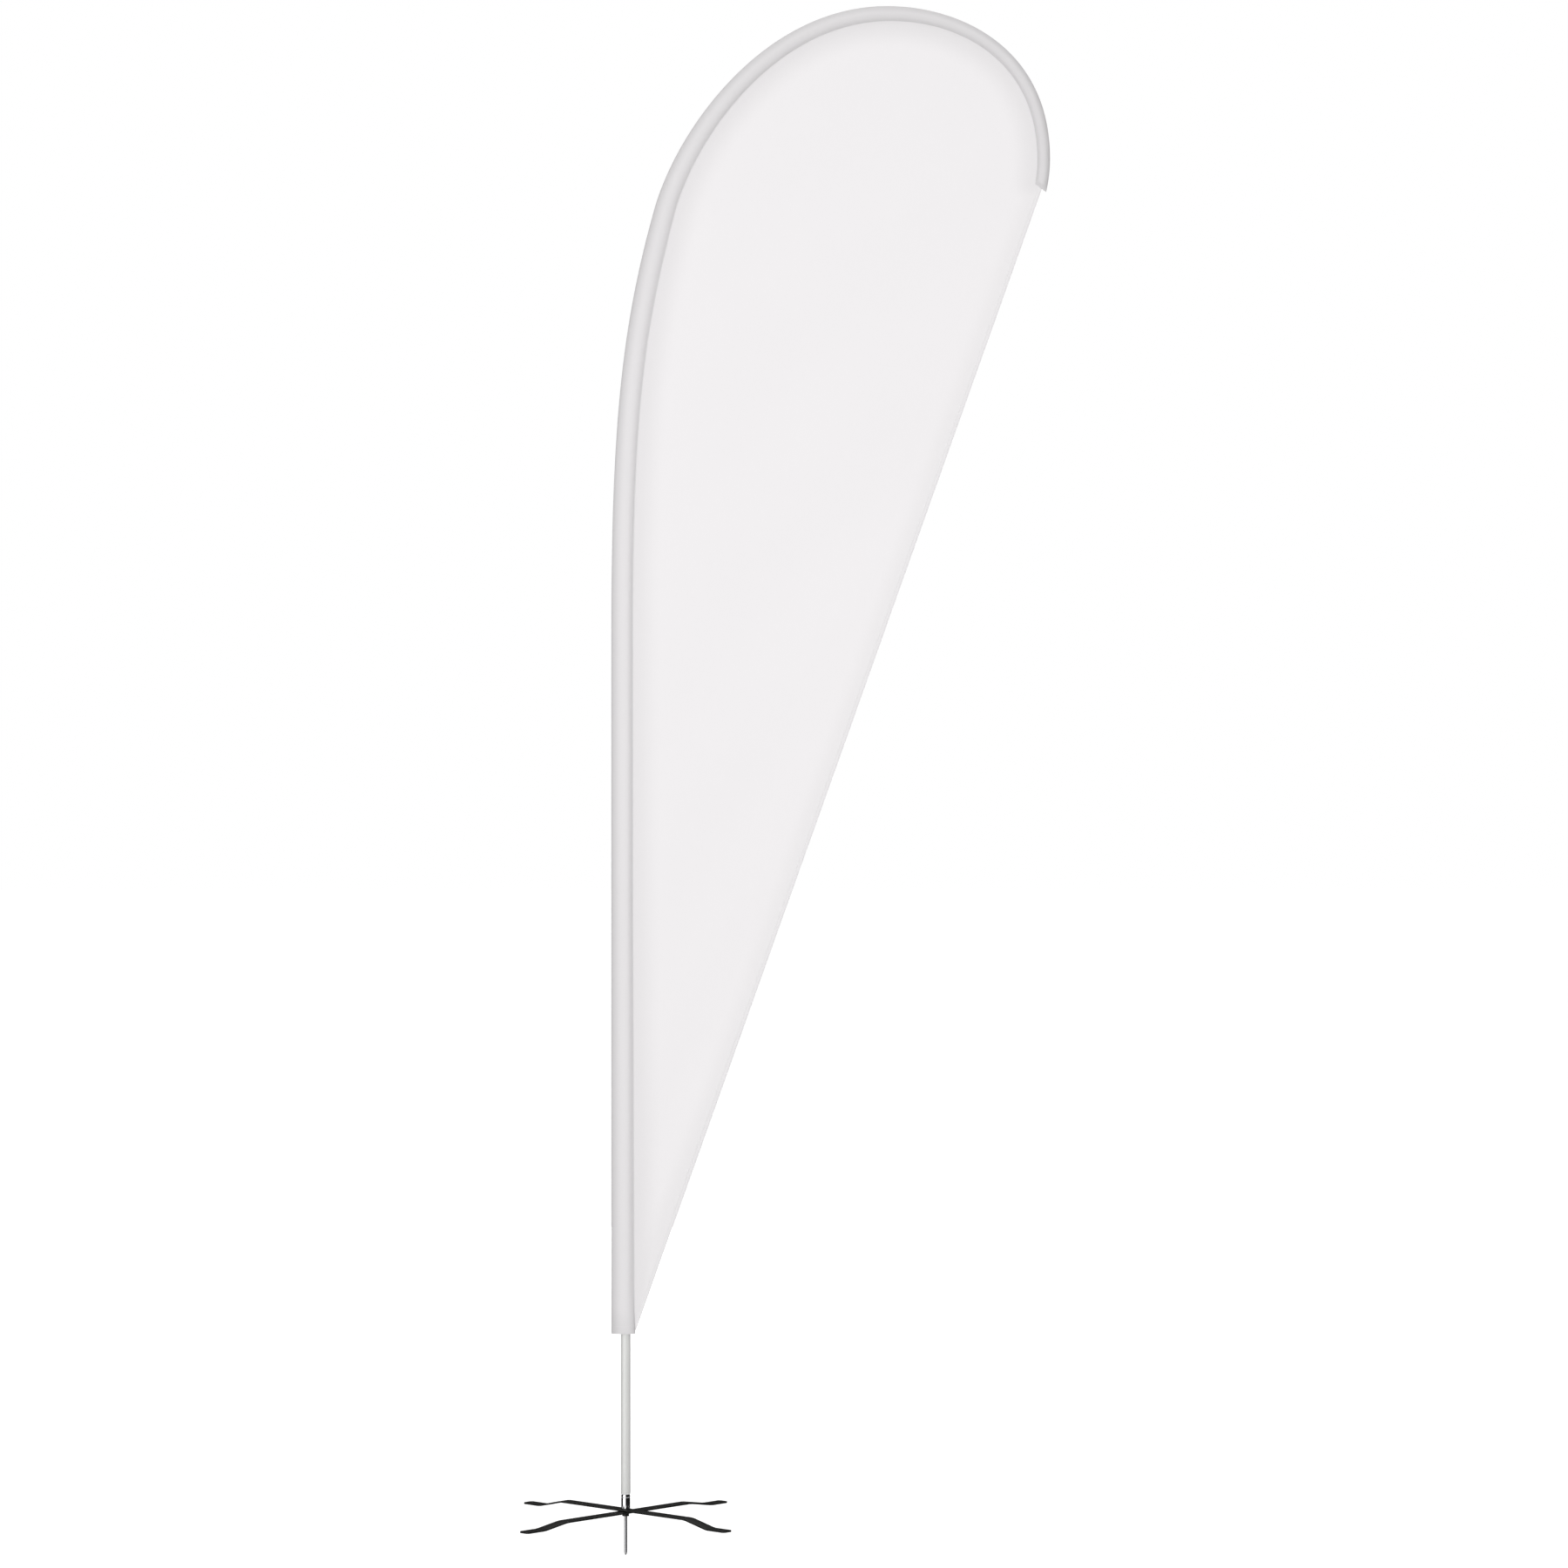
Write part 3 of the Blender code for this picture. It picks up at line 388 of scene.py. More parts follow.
def paint_finish(colour):
    """Black powder coat: fine orange peel, rubbed lighter along the bars' edges."""
    finish = Finish("black_powder_coat", specular=0.18)
    peel = finish.grain(850.0, 2.0)
    dusty = finish.grain(14.0, 5.0)
    rubbed = finish.mark("edge") * finish.step(finish.grain(120.0, 6.0), 0.46, 0.66)
    coat = finish.blend(dusty, shade(colour, 0.8), shade(colour, 1.5))
    tint = finish.blend(rubbed * 0.35, coat, (0.055, 0.055, 0.054, 1.0))
    return finish.cover(tint, peel * 0.10 + dusty * 0.12 + 0.32, peel, 0.00006, 0.6)


def plastic_finish(name, colour, gloss):
    """Moulded plastic: a slight mottle and a fine satin grain."""
    finish = Finish(name, specular=0.4)
    grain = finish.grain(1400.0, 2.0)
    mottle = finish.grain(70.0, 3.0)
    tint = finish.blend(mottle, shade(colour, 0.93), shade(colour, 1.05))
    return finish.cover(tint, grain * 0.12 + mottle * 0.08 + gloss - 0.1, grain, 0.00002)


def bronze_finish():
    """Sintered bronze: open pores and darker oil stains."""
    finish = Finish("sintered_bronze", metallic=1.0)
    pores = finish.step(finish.grain(2600.0, 3.0), 0.55, 0.68)
    oil = finish.grain(110.0, 3.0)
    tone = finish.blend(oil, (0.36, 0.23, 0.10, 1.0), (0.53, 0.36, 0.17, 1.0))
    tint = finish.blend(pores, tone, (0.12, 0.08, 0.04, 1.0))
    return finish.cover(tint, pores * 0.2 + oil * 0.1 + 0.32, 1.0 - pores, 0.00005)


def fibreglass_finish():
    """White pultruded fibreglass: glass strands seen through the resin."""
    finish = Finish("fibreglass", coat=0.2)
    strands = finish.grain((1100.0, 1100.0, 30.0), 4.0)
    tint = finish.blend(strands, (0.62, 0.63, 0.58, 1.0), (0.80, 0.80, 0.76, 1.0))
    return finish.cover(tint, strands * 0.2 + 0.28, strands, 0.00003)


def woven_finish(name, colour, rib):
    """Woven elastic or webbing: ribs one way, crossing yarns the other."""
    finish = Finish(name, sheen=0.2, specular=0.25)
    point = finish.place()
    across, deep, up = finish.parts(point)
    ribs = up.wave(rib) * 0.5 + 0.5
    yarns = (across + deep).wave(rib * 0.6) * 0.5 + 0.5
    weave = ribs * 0.65 + yarns * 0.35
    fuzz = finish.cloud(point, 1200.0, 3.0)
    tint = finish.blend(weave * 0.8 + fuzz * 0.2, shade(colour, 0.8), shade(colour))
    return finish.cover(tint, fuzz * 0.15 + 0.78, weave, 0.0003, 0.7)


# ---------------------------------------------------------------- modelling helpers

def deselect_all():
    bpy.ops.object.select_all(action="DESELECT")


def take(piece, name=None):
    """Makes a piece the only one selected, and active."""
    deselect_all()
    piece.select_set(True)
    bpy.context.view_layer.objects.active = piece
    if name is not None:
        piece.name = name
        piece.data.name = name
    return piece


def linked(name, data):
    """A new object, put in the scene."""
    made = bpy.data.objects.new(name, data)
    bpy.context.scene.collection.objects.link(made)
    return made


def edit(piece):
    take(piece)
    bpy.ops.object.mode_set(mode="EDIT")
    bpy.ops.mesh.select_mode(type="VERT")


def leave_edit():
    bpy.ops.object.mode_set(mode="OBJECT")


def pick(piece, kind, test):
    """Selects, in edit mode, the vertices or edges whose middle passes a test."""
    bpy.ops.mesh.select_mode(type=kind)
    bpy.ops.mesh.select_all(action="DESELECT")
    cage = bmesh.from_edit_mesh(piece.data)
    parts = cage.verts if kind == "VERT" else cage.edges
    for part in parts:
        corners = [part] if kind == "VERT" else part.verts
        middle = sum((corner.co for corner in corners), Vector()) / len(corners)
        if test(middle, part):
            part.select_set(True)
    cage.select_flush_mode()
    bmesh.update_edit_mesh(piece.data)


def close_up(piece, weld=WELD):
    """Merges doubled points and turns every face to one side, outwards on a closed piece."""
    edit(piece)
    bpy.ops.mesh.select_all(action="SELECT")
    bpy.ops.mesh.remove_doubles(threshold=weld)
    bpy.ops.mesh.normals_make_consistent(inside=False)
    leave_edit()


def apply(piece, kind, **settings):
    """Adds a modifier and applies it."""
    take(piece)
    modifier = piece.modifiers.new(kind.title(), kind)
    for name, value in settings.items():
        setattr(modifier, name, value)
    bpy.ops.object.modifier_apply(modifier=modifier.name)


def soften(piece, width, segments=3, angle=40.0):
    """Rounds the sharp edges of a piece."""
    apply(piece, "BEVEL", width=width, segments=segments, limit_method="ANGLE",
          angle_limit=math.radians(angle), harden_normals=False, use_clamp_overlap=True)


def settle(piece, finish, body, slot, *nodes, smooth=SMOOTH_ANGLE):
    """Puts a piece's place in its mesh, gives it its finish and fixes it to its body."""
    take(piece)
    bpy.ops.object.transform_apply(location=True, rotation=True, scale=True)
    bpy.ops.object.shade_smooth_by_angle(angle=smooth)
    piece.data.materials.clear()
    piece.data.materials.append(finish)
    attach(piece, body)
    if nodes:
        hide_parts(*nodes)
    return piece


def turned(name, profile, closed=True, steps=TURNED_STEPS):
    """A turned piece: its (radius, height) outline is drawn corner by corner, then spun."""
    corners = [Vector((radius, 0.0, height)) for radius, height in profile]
    if closed:
        corners.append(corners[0])
    deselect_all()
    bpy.ops.mesh.primitive_plane_add(size=0.001, location=corners[0])
    piece = take(bpy.context.object, name)
    bpy.ops.object.transform_apply(location=True)
    edit(piece)
    bpy.ops.mesh.select_all(action="SELECT")
    bpy.ops.mesh.merge(type="CENTER")
    for start, end in zip(corners, corners[1:]):
        bpy.ops.mesh.extrude_vertices_move(TRANSFORM_OT_translate={"value": end - start})
    bpy.ops.mesh.select_all(action="SELECT")
    bpy.ops.mesh.remove_doubles(threshold=WELD)
    bpy.ops.mesh.select_all(action="SELECT")
    bpy.ops.mesh.spin(
        steps=steps, angle=2.0 * math.pi, center=(0.0, 0.0, 0.0), axis=(0.0, 0.0, 1.0))
    leave_edit()
    close_up(piece)
    return piece


def drill(piece, radius, base, top, steps=TURNED_STEPS, operation="DIFFERENCE", chamfer=0.0):
    """Cuts a round hole, or keeps what a round bar shares with the piece."""
    deselect_all()
    bpy.ops.mesh.primitive_cylinder_add(
        vertices=steps, radius=radius, depth=top - base, location=(0.0, 0.0, (top + base) / 2.0))
    bar = bpy.context.object
    if chamfer > 0.0:
        soften(bar, chamfer, segments=1)
    apply(piece, "BOOLEAN", operation=operation, object=bar, solver="EXACT")
    bpy.data.objects.remove(bar, do_unlink=True)


def blended(value, low, high):
    """0 below low, 1 above high and smooth between."""
    share = np.clip((value - low) / (high - low), 0.0, 1.0)
    return share * share * (3.0 - 2.0 * share)


# ---------------------------------------------------------------- the flag's edge

def bezier(start, handle, second_handle, end):
    t = np.linspace(0.0, 1.0, EDGE_SAMPLES)[1:, None]
    return ((1 - t) ** 3 * start + 3 * (1 - t) ** 2 * t * handle
            + 3 * (1 - t) * t ** 2 * second_handle + t ** 3 * end)


def edge_line():
    """The sleeve's outer edge as (x, z) points, from its foot to its end."""
    reach = SLEEVE_HIGH.x - SLEEVE_LOW.x
    height = SLEEVE_HIGH.z - SLEEVE_LOW.z

    def place(shares):
        return np.array((SLEEVE_LOW.x + shares[0] * reach, SLEEVE_LOW.z + shares[1] * height))

    runs = [np.linspace(place((0.0, 0.0)), place((0.0, BEND_START)), EDGE_SAMPLES)]
    start = runs[0][-1]
    for handle, second_handle, end in EDGE_CURVES:
        runs.append(bezier(start, place(handle), place(second_handle), place(end)))
        start = place(end)
    return np.vstack(runs)


class Line:
    """A smooth line in the plane of the flag, read by the distance along it."""

    def __init__(self, points):
        self.points = np.asarray(points)
        steps = np.linalg.norm(np.diff(self.points, axis=0), axis=1)
        self.reach = np.concatenate(([0.0], np.cumsum(steps)))
        self.length = self.reach[-1]

    def at(self, distances):
        across, up = self.points.T
        return np.stack((np.interp(distances, self.reach, across),
                         np.interp(distances, self.reach, up)), axis=-1)

    def tangent(self, distances, span=0.012):
        ahead = self.at(np.minimum(distances + span, self.length))
        behind = self.at(np.maximum(distances - span, 0.0))
        step = ahead - behind
        return step / np.linalg.norm(step, axis=-1, keepdims=True)

    def inward(self, distances):
        """Across the line, to the side that the flag is on."""
        along = self.tangent(distances)
        return np.stack((along[..., 1], -along[..., 0]), axis=-1)


EDGE = Line(edge_line())


def sleeve_width(distances):
    return np.interp(distances / EDGE.length, SLEEVE_STATIONS, SLEEVE_WIDTHS)


def pole_share(distances):
    """Where the pole's axis lies across the sleeve: behind the middle at first, then on it."""
    upright = -2.0 * SLEEVE_LOW.x / sleeve_width(distances) - 1.0
    bend = BEND_START * (SLEEVE_HIGH.z - SLEEVE_LOW.z)
    return upright * (1.0 - blended(distances, bend, bend + EDGE.length * 0.25))


def sleeve_half_thickness(distances):
    full = np.interp(distances / EDGE.length, SLEEVE_STATIONS, SLEEVE_HALF_THICKNESS)
    pressed = blended(distances, EDGE.length - SLEEVE_END_TAPER, EDGE.length)
    return full + (1.4 * FLANGE_HALF - full) * pressed


def sleeve_point(distances, across, side, shrink=0.0):
    """Points on the sleeve: across runs from -1 at the outer fold to 1 at the seam.

    The section is round at the foot, where elastic holds it open, and fuller towards the fold.
    """
    distances, across = np.broadcast_arrays(np.asarray(distances, float), np.asarray(across, float))
    width = sleeve_width(distances)
    gathered = blended(distances, *GATHER_RUN)
    seam = 1.0 - 2.0 * SEAM_FLANGE / width * gathered
    crest = pole_share(distances) * gathered
    run = np.where(across > crest, seam - crest, 1.0 + crest)
    inside = np.minimum(np.abs(across - crest) / run, 1.0)
    pinch = 0.5 + np.where(across > crest, SEAM_PINCH, FOLD_PINCH) * gathered
    swell = np.maximum(1.0 - inside ** 2, 0.0) ** pinch
    thin = FLANGE_HALF * blended(across, -1.0, -0.9)
    depth = thin + (sleeve_half_thickness(distances) - FLANGE_HALF) * swell - shrink
    hem = FOOT_HEM_LIFT * (1.0 - blended(distances, FOOT_HEM - HEM_STEP, FOOT_HEM + HEM_STEP))
    depth = np.maximum(depth, 0.0) + hem * blended(across, -1.0, -0.97)
    depth = depth + pucker(distances, across, side)
    slant = SLEEVE_END_SLANT * np.clip(
        (distances - EDGE.length + SLEEVE_END_RUN) / SLEEVE_END_RUN, 0.0, 1.0)
    offset = (width * (across + 1.0) / 2.0)[..., None] * EDGE.inward(distances)
    back = (slant * (across + 1.0) / 2.0)[..., None] * EDGE.tangent(distances)
    flat = EDGE.at(distances) + offset - back
    return np.stack((flat[..., 0], side * depth, flat[..., 1]), axis=-1)


def pucker(distances, across, side):
    """Small gathers beside the seam, and soft creases where the sleeve is bent tightly."""
    turns = distances * 2.0 * math.pi
    wander = 1.8 * np.sin(distances * 7.3 + side) + 0.9 * np.sin(distances * 19.1)
    near_seam = np.exp(-((across - 0.62) / 0.22) ** 2)
    gathers = PUCKER[0] * near_seam * np.sin(turns / PUCKER[1] + wander)
    bent = blended(distances, 0.55 * EDGE.length, 0.75 * EDGE.length)
    crease = CREASE[0] * bent * (1.0 - across ** 2) * np.sin(turns / CREASE[1] + 2.0 * wander)
    end = blended(distances, EDGE.length - 0.09, EDGE.length - 0.03)
    return (gathers + crease) * blended(distances, 0.03, 0.10) * (1.0 - end)


def sheet(name, points, uv, painted_shade, thickness, offset=-1.0):
    """Cloth from a grid of points, with its own map in metres and a mark of painted shade."""
    rows, columns = points.shape[:2]
    index = np.arange(rows * columns).reshape(rows, columns)
    faces = np.stack((index[:-1, :-1], index[:-1, 1:], index[1:, 1:], index[1:, :-1]), axis=-1)
    faces = faces.reshape(-1, 4)
    mesh = bpy.data.meshes.new(name)
    mesh.from_pydata(points.reshape(-1, 3).tolist(), [], faces.tolist())
    layer = mesh.uv_layers.new(name="cloth")
    layer.uv.foreach_set("vector", uv.reshape(-1, 2)[faces.ravel()].astype(np.float32).ravel())
    attribute = mesh.attributes.new("painted_shade", "FLOAT", "POINT")
    attribute.data.foreach_set("value", painted_shade.astype(np.float32).ravel())
    piece = linked(name, mesh)
    close_up(piece, weld=SHEET_WELD)
    apply(piece, "SOLIDIFY", thickness=thickness, offset=offset, use_even_offset=False,
          use_quality_normals=True)
    return piece


# ---------------------------------------------------------------- cloth pieces

def sleeve_distances(rings):
    """Rings along the sleeve, closer at the top of the foot's hem and where the end is pressed."""
    even = np.linspace(0.0, EDGE.length, rings)
    step = FOOT_HEM + HEM_STEP * np.array((-1.5, -0.5, 0.5, 1.5))
    end = EDGE.length - SLEEVE_END_TAPER * np.array((0.75, 0.5, 0.3, 0.15, 0.05))
    return np.unique(np.concatenate((even, step, end)))


def section_shares():
    """Shares across the sleeve for one layer, from the seam to the outer fold."""
    curve = np.cos(np.linspace(0.22 * math.pi, math.pi, 16))
    return np.concatenate(((1.0, 0.93, 0.86), curve))


def wrapped(distances, shares, shrink=0.0):
    """A grid round both layers of the sleeve, from one lip of the seam to the other."""
    across = np.concatenate((shares, shares[-2::-1]))
    side = np.where(np.arange(len(across)) < len(shares), 1.0, -1.0)[None, :]
    grid_d, grid_a = np.meshgrid(distances, across, indexing="ij")
    return grid_d, grid_a, side, sleeve_point(grid_d, grid_a, side, shrink=shrink)


def pole_sleeve(cloth):
    """One strip of cloth, wrapped round the pole."""
    grid_d, grid_a, side, points = wrapped(sleeve_distances(cloth.sleeve_rings), section_shares())
    girth = side * (1.0 - grid_a) * sleeve_width(grid_d) / 2.0
    # painted shade: darker towards both edges of the sleeve, towards its end and at its foot
    near_edge = blended(-grid_a, 0.0, 0.9) * 0.7 + blended(grid_a, 0.3, 1.0) * 0.4
    tip_tone = 0.5 * blended(grid_d / EDGE.length, 0.45, 1.0)
    foot_tone = 0.35 * (1.0 - blended(grid_d, 0.0, 0.08))
    painted_shade = np.clip(near_edge + tip_tone + foot_tone, 0.0, 1.0)
    uv = np.stack((girth, grid_d), axis=-1)
    return sheet("sleeve_cloth", points, uv, painted_shade, cloth.cloth_thickness)


def end_pocket():
    """The webbing pocket in the sleeve's end, pressed flat with it."""
    distances = EDGE.length - np.linspace(*POCKET_RUN, 16)
    grid_d, grid_a, _, points = wrapped(distances, section_shares() * 0.93, shrink=0.0012)
    uv = np.stack((grid_a * 0.02, grid_d), axis=-1)
    return sheet("tip_pocket_webbing", points, uv, np.zeros(grid_a.shape), WEBBING_THICKNESS)


def seam_line(distances, tuck=0.0):
    """The seam, moved into the sleeve by tuck."""
    flat = sleeve_point(distances, 1.0, 1.0)[..., (0, 2)]
    return flat - EDGE.inward(distances) * tuck


def panel_sides():
    """The panel's left border, its right one from foot to crown, and its free edge."""
    crown = np.linspace(0.0, EDGE.length, 4000)
    top = crown[np.argmax(seam_line(crown, SEAM_TUCK)[:, 1])]
    left = seam_line(np.concatenate(([PANEL_FOOT_RISE], np.linspace(0.03, top, 900))), SEAM_TUCK)
    falling = seam_line(np.linspace(top, EDGE.length - SLEEVE_END_RUN / 4.0, 500), SEAM_TUCK)[::-1]
    foot = left[0] + np.array((SEAM_TUCK + PANEL_FOOT_SPREAD, 0.0))
    seam_corner = seam_line(EDGE.length)
    nose = seam_corner + (EDGE.at(EDGE.length) - seam_corner) * PANEL_TOP_SHARE
    trailing = np.linspace(foot, nose, 300)
    rising = falling[falling[:, 1] > nose[1] + 0.004]
    return left, np.vstack((trailing, rising)), trailing


def sway(cloth, across, up, nose_share):
    """How far the panel stands off its plane: a soft belly, and a slight wave in the free edge."""
    arch = np.sin(math.pi * across)
    belly = cloth.billow * arch ** 1.5 * np.sin(math.pi * up ** 1.25)
    free = 1.0 - blended(up, nose_share - 0.22, nose_share - 0.02)
    rooted = blended(up, 0.0, 0.12)
    crown = 1.0 - blended(up, 0.84, 0.98)
    wave = FREE_EDGE_WAVE * across ** 3 * free * rooted * np.sin(up * 21.0 + 0.7)
    ripple = PANEL_RIPPLE * arch * rooted * crown * np.sin(up * 34.0 - across * 9.0)
    return belly + wave + ripple


def distance_to(line, points, batch=60):
    """The distance from each point to the nearest point of a line."""
    nearest = np.full(len(points), np.inf)
    for start in range(0, len(line), batch):
        gaps = points[:, None, :] - line[None, start:start + batch, :]
        nearest = np.minimum(nearest, np.sqrt((gaps ** 2).sum(axis=2)).min(axis=1))
    return nearest


def panel_grid(cloth):
    """The panel's points: rows from its left border to its right one."""
    left, right, trailing = panel_sides()
    low, high = left[0, 1], left[-1, 1] - 0.0002
    reach = Line(left)
    rows = np.linspace(0.0, reach.length - 0.001, cloth.panel_rows)
    heights = np.clip(np.interp(rows, reach.reach, left[:, 1]), low, high)
    left_x = np.interp(heights, left[:, 1], left[:, 0])
    right_x = np.interp(heights, right[:, 1], right[:, 0])
    even = np.linspace(0.0, 1.0, cloth.panel_columns)
    across = 0.85 * (0.5 - 0.5 * np.cos(math.pi * even)) + 0.15 * even
    x = left_x[:, None] + (right_x - left_x)[:, None] * across[None, :]
    z = np.repeat(heights[:, None], len(across), axis=1)
    nose_share = (trailing[-1, 1] - low) / (high - low)
    y = sway(cloth, np.broadcast_to(across, x.shape), (z - low) / (high - low), nose_share)
    return np.stack((x, y, z), axis=-1), left, right, trailing


def flag_panel(cloth):
    """The panel: painted shade near its seam, and less of it near its free edge."""
    points, left, right, trailing = panel_grid(cloth)
    flat = points[..., (0, 2)].reshape(-1, 2)
    seam = np.vstack((left[::2], right[len(trailing):]))
    # painted shade beside the seam, and weaker painted shade beside the free edge
    seam_tone = 1.0 - blended(distance_to(seam, flat) - SEAM_TUCK, 0.0, SEAM_FADE)
    free_tone = 1.0 - blended(distance_to(trailing, flat), 0.0, FREE_FADE)
    painted_shade = np.maximum(seam_tone, FREE_EDGE_TONE * free_tone).reshape(points.shape[:2])
    return sheet("flag_cloth", points, points[..., (0, 2)], painted_shade, cloth.cloth_thickness, offset=0.0)


def hem_rows(cloth):
    """Rows along the trailing edge: their points, the ways inwards and along, the hem's width."""
    _, left, _, trailing = panel_grid(cloth)
    edge = Line(trailing)
    flat = edge.at(np.linspace(0.0, edge.length, 260))
    run = (trailing[-1] - trailing[0]) / np.linalg.norm(trailing[-1] - trailing[0])
    inwards = np.array((-run[1], run[0]))
    low, high = left[0, 1], left[-1, 1]
    up = (flat[:, 1] - low) / (high - low)
    nose_share = (trailing[-1, 1] - low) / (high - low)
    y = sway(cloth, np.ones(len(up)), up, nose_share)
    room = flat[:, 0] - np.interp(flat[:, 1], left[:, 1], left[:, 0]) - SEAM_TUCK
    width = np.minimum(cloth.hem_width, np.maximum(room * abs(inwards[0]) * 0.9, 0.0012))
    return flat, y, inwards, width, run


def trailing_hem(cloth):
    """The folded hem: a strip that wraps the panel's free edge, a little thicker than it."""
    flat, y, inwards, width, _ = hem_rows(cloth)
    shares = np.array((1.0, 0.97, 0.5, 0.08, 0.0, 0.08, 0.5, 0.97, 1.0))
    depth = np.array((0.5, 0.9, 1.0, 0.85, 0.0, -0.85, -1.0, -0.9, -0.5)) * HEM_DEPTH
    reach = width[:, None] * shares[None, :]
    x = flat[:, 0, None] + inwards[0] * reach
    z = flat[:, 1, None] + inwards[1] * reach
    points = np.stack((x, y[:, None] + np.broadcast_to(depth, x.shape), z), axis=-1)
    along = np.repeat(flat[:, 1, None], len(shares), axis=1)
    uv = np.stack((np.sign(depth)[None, :] * reach, along), axis=-1)
    # the hem carries the painted shade of the panel's free edge
    return sheet("trailing_hem", points, uv, np.full(x.shape, FREE_EDGE_TONE), WEBBING_THICKNESS)


def stitch_template():
    """One stitch: a short four-sided bar, drawn to a point at both ends."""
    deselect_all()
    bpy.ops.mesh.primitive_cylinder_add(vertices=4, radius=0.5, depth=0.6, end_fill_type="TRIFAN")
    stitch = take(bpy.context.object, "stitch")
    for corner in stitch.data.vertices:
        if corner.co.xy.length < 0.01:
            corner.co.z = math.copysign(0.5, corner.co.z)
    return stitch


def stitch_rows(name, cloth, rows):
    """Copies one stitch along rows of (places, directions, outward) and joins them in one mesh."""
    stitch = stitch_template()
    corners = np.array([corner.co for corner in stitch.data.vertices])
    faces = [list(face.vertices) for face in stitch.data.polygons]
    bpy.data.objects.remove(stitch, do_unlink=True)
    size = np.array((THREAD_THICKNESS, THREAD_THICKNESS, STITCH_LENGTH * cloth.stitch_pitch))
    points, polygons = [], []
    for places, directions, outward in rows:
        for place, along, out in zip(places, directions, outward):
            base = len(points) * len(corners)
            points.append(place + corners * size @ np.array((np.cross(along, out), out, along)))
            polygons += [[base + i for i in face] for face in faces]
    mesh = bpy.data.meshes.new(name)
    mesh.from_pydata(np.vstack(points).tolist(), [], polygons)
    piece = linked(name, mesh)
    close_up(piece)
    return piece


def seam_stitches(cloth):
    """Two rows of stitches on each face of the sleeve's seam."""
    distances = np.arange(0.012, EDGE.length - 0.006, cloth.stitch_pitch)
    tangent = EDGE.tangent(distances)
    along = np.stack((tangent[:, 0], np.zeros(len(distances)), tangent[:, 1]), axis=1)
    rows = []
    for side in (1.0, -1.0):
        out = np.tile((0.0, side, 0.0), (len(distances), 1))
        for inset in SEAM_ROWS:
            share = 1.0 - 2.0 * inset / sleeve_width(distances)
            rows.append((sleeve_point(distances, share, side), along, out))
    return stitch_rows("seam_stitching", cloth, rows)


def hem_stitches(cloth):
    """Two rows of stitches on each face of the trailing edge's hem."""
    flat, y, inwards, width, run = hem_rows(cloth)
    edge = Line(flat)
    distances = np.arange(0.02, edge.length - 0.004, cloth.stitch_pitch)
    depth = np.interp(distances, edge.reach, y)
    wide = np.interp(distances, edge.reach, width)
    along = np.tile((run[0], 0.0, run[1]), (len(distances), 1))
    rows = []
    for side in (1.0, -1.0):
        out = np.tile((0.0, side, 0.0), (len(distances), 1))
        for share in HEM_ROWS:
            places = edge.at(distances) + inwards * (wide * share)[:, None]
            lift = depth + side * HEM_STITCH_LIFT
            rows.append((np.stack((places[:, 0], lift, places[:, 1]), axis=1), along, out))
    return stitch_rows("hem_stitching", cloth, rows)


def foot_stitches(cloth):
    """Two rows of stitches on each face of the sleeve's foot hem."""
    rows = []
    across = np.linspace(-0.93, 0.93, 15)
    for side in (1.0, -1.0):
        for height in FOOT_ROWS:
            places = sleeve_point(height, across, side)
            ahead = sleeve_point(height, across + 0.01, side)
            along = (ahead - places) / np.linalg.norm(ahead - places, axis=1, keepdims=True)
            out = np.cross(along, (0.0, 0.0, 1.0))
            out *= np.sign(out[:, 1:2])
            rows.append((places, along, out))
    return stitch_rows("foot_stitching", cloth, rows)


# ---------------------------------------------------------------- metal pieces

def leg_bar(base, name, height, turn):
    """A flat bar: half of it is drawn out from the hub, mirrored, bent softly and thickened."""
    half_width = base.leg_width / 2.0
    deselect_all()
    bpy.ops.mesh.primitive_plane_add(size=1.0, location=(0.5, 0.0, 0.0))
    bar = take(bpy.context.object, name)
    bpy.ops.object.transform_apply(location=True)
    edit(bar)
    bpy.ops.mesh.select_all(action="SELECT")
    bpy.ops.transform.resize(
        value=(base.leg_flat, base.leg_width, 1.0), center_override=(0.0, 0.0, 0.0))
    reach = base.leg_flat
    for run, fall in ((base.leg_drop, -height), (base.leg_foot, 0.0)):
        pick(bar, "EDGE", lambda place, edge, at=reach: abs(place.x - at) < 0.0001)
        bpy.ops.mesh.extrude_region_move(TRANSFORM_OT_translate={"value": (run, 0.0, fall)})
        reach += run
    pick(bar, "VERT", lambda place, _: abs(place.x - reach) < 0.0001)
    bpy.ops.mesh.bevel(offset=TOE_RADIUS, segments=8, affect="VERTICES")
    bends = (base.leg_flat, base.leg_flat + base.leg_drop)
    pick(bar, "EDGE", lambda place, edge: min(abs(place.x - at) for at in bends) < 0.0001
         and abs(place.y) < half_width / 2.0)
    bpy.ops.mesh.bevel(offset=base.bend_length, segments=10, affect="EDGES")
    leave_edit()
    apply(bar, "MIRROR", use_axis=(True, False, False), merge_threshold=0.0001)
    close_up(bar)
    face_up(bar)
    apply(bar, "SOLIDIFY", thickness=base.leg_thick, offset=1.0, use_even_offset=True)
    soften(bar, 0.0009, segments=3, angle=50.0)
    drill(bar, (STUD_HIGH.x - STUD_LOW.x) / 2.0 + GAP, -0.02, 0.02)
    mark_edges(bar, half_width)
    bar.location.z = height
    bar.rotation_euler.z = turn
    return bar


def face_up(piece):
    """Turns an open sheet over if it faces down."""
    if sum(face.normal.z for face in piece.data.polygons) < 0.0:
        edit(piece)
        bpy.ops.mesh.select_all(action="SELECT")
        bpy.ops.mesh.flip_normals()
        leave_edit()


def mark_edges(bar, half_width):
    """Writes where a bar's long edges are, for the rubbed paint."""
    attribute = bar.data.attributes.new("edge", "FLOAT", "POINT")
    for corner, mark in zip(bar.data.vertices, attribute.data):
        mark.value = 1.0 if abs(corner.co.y) > half_width - RUBBED_STRIP else 0.0


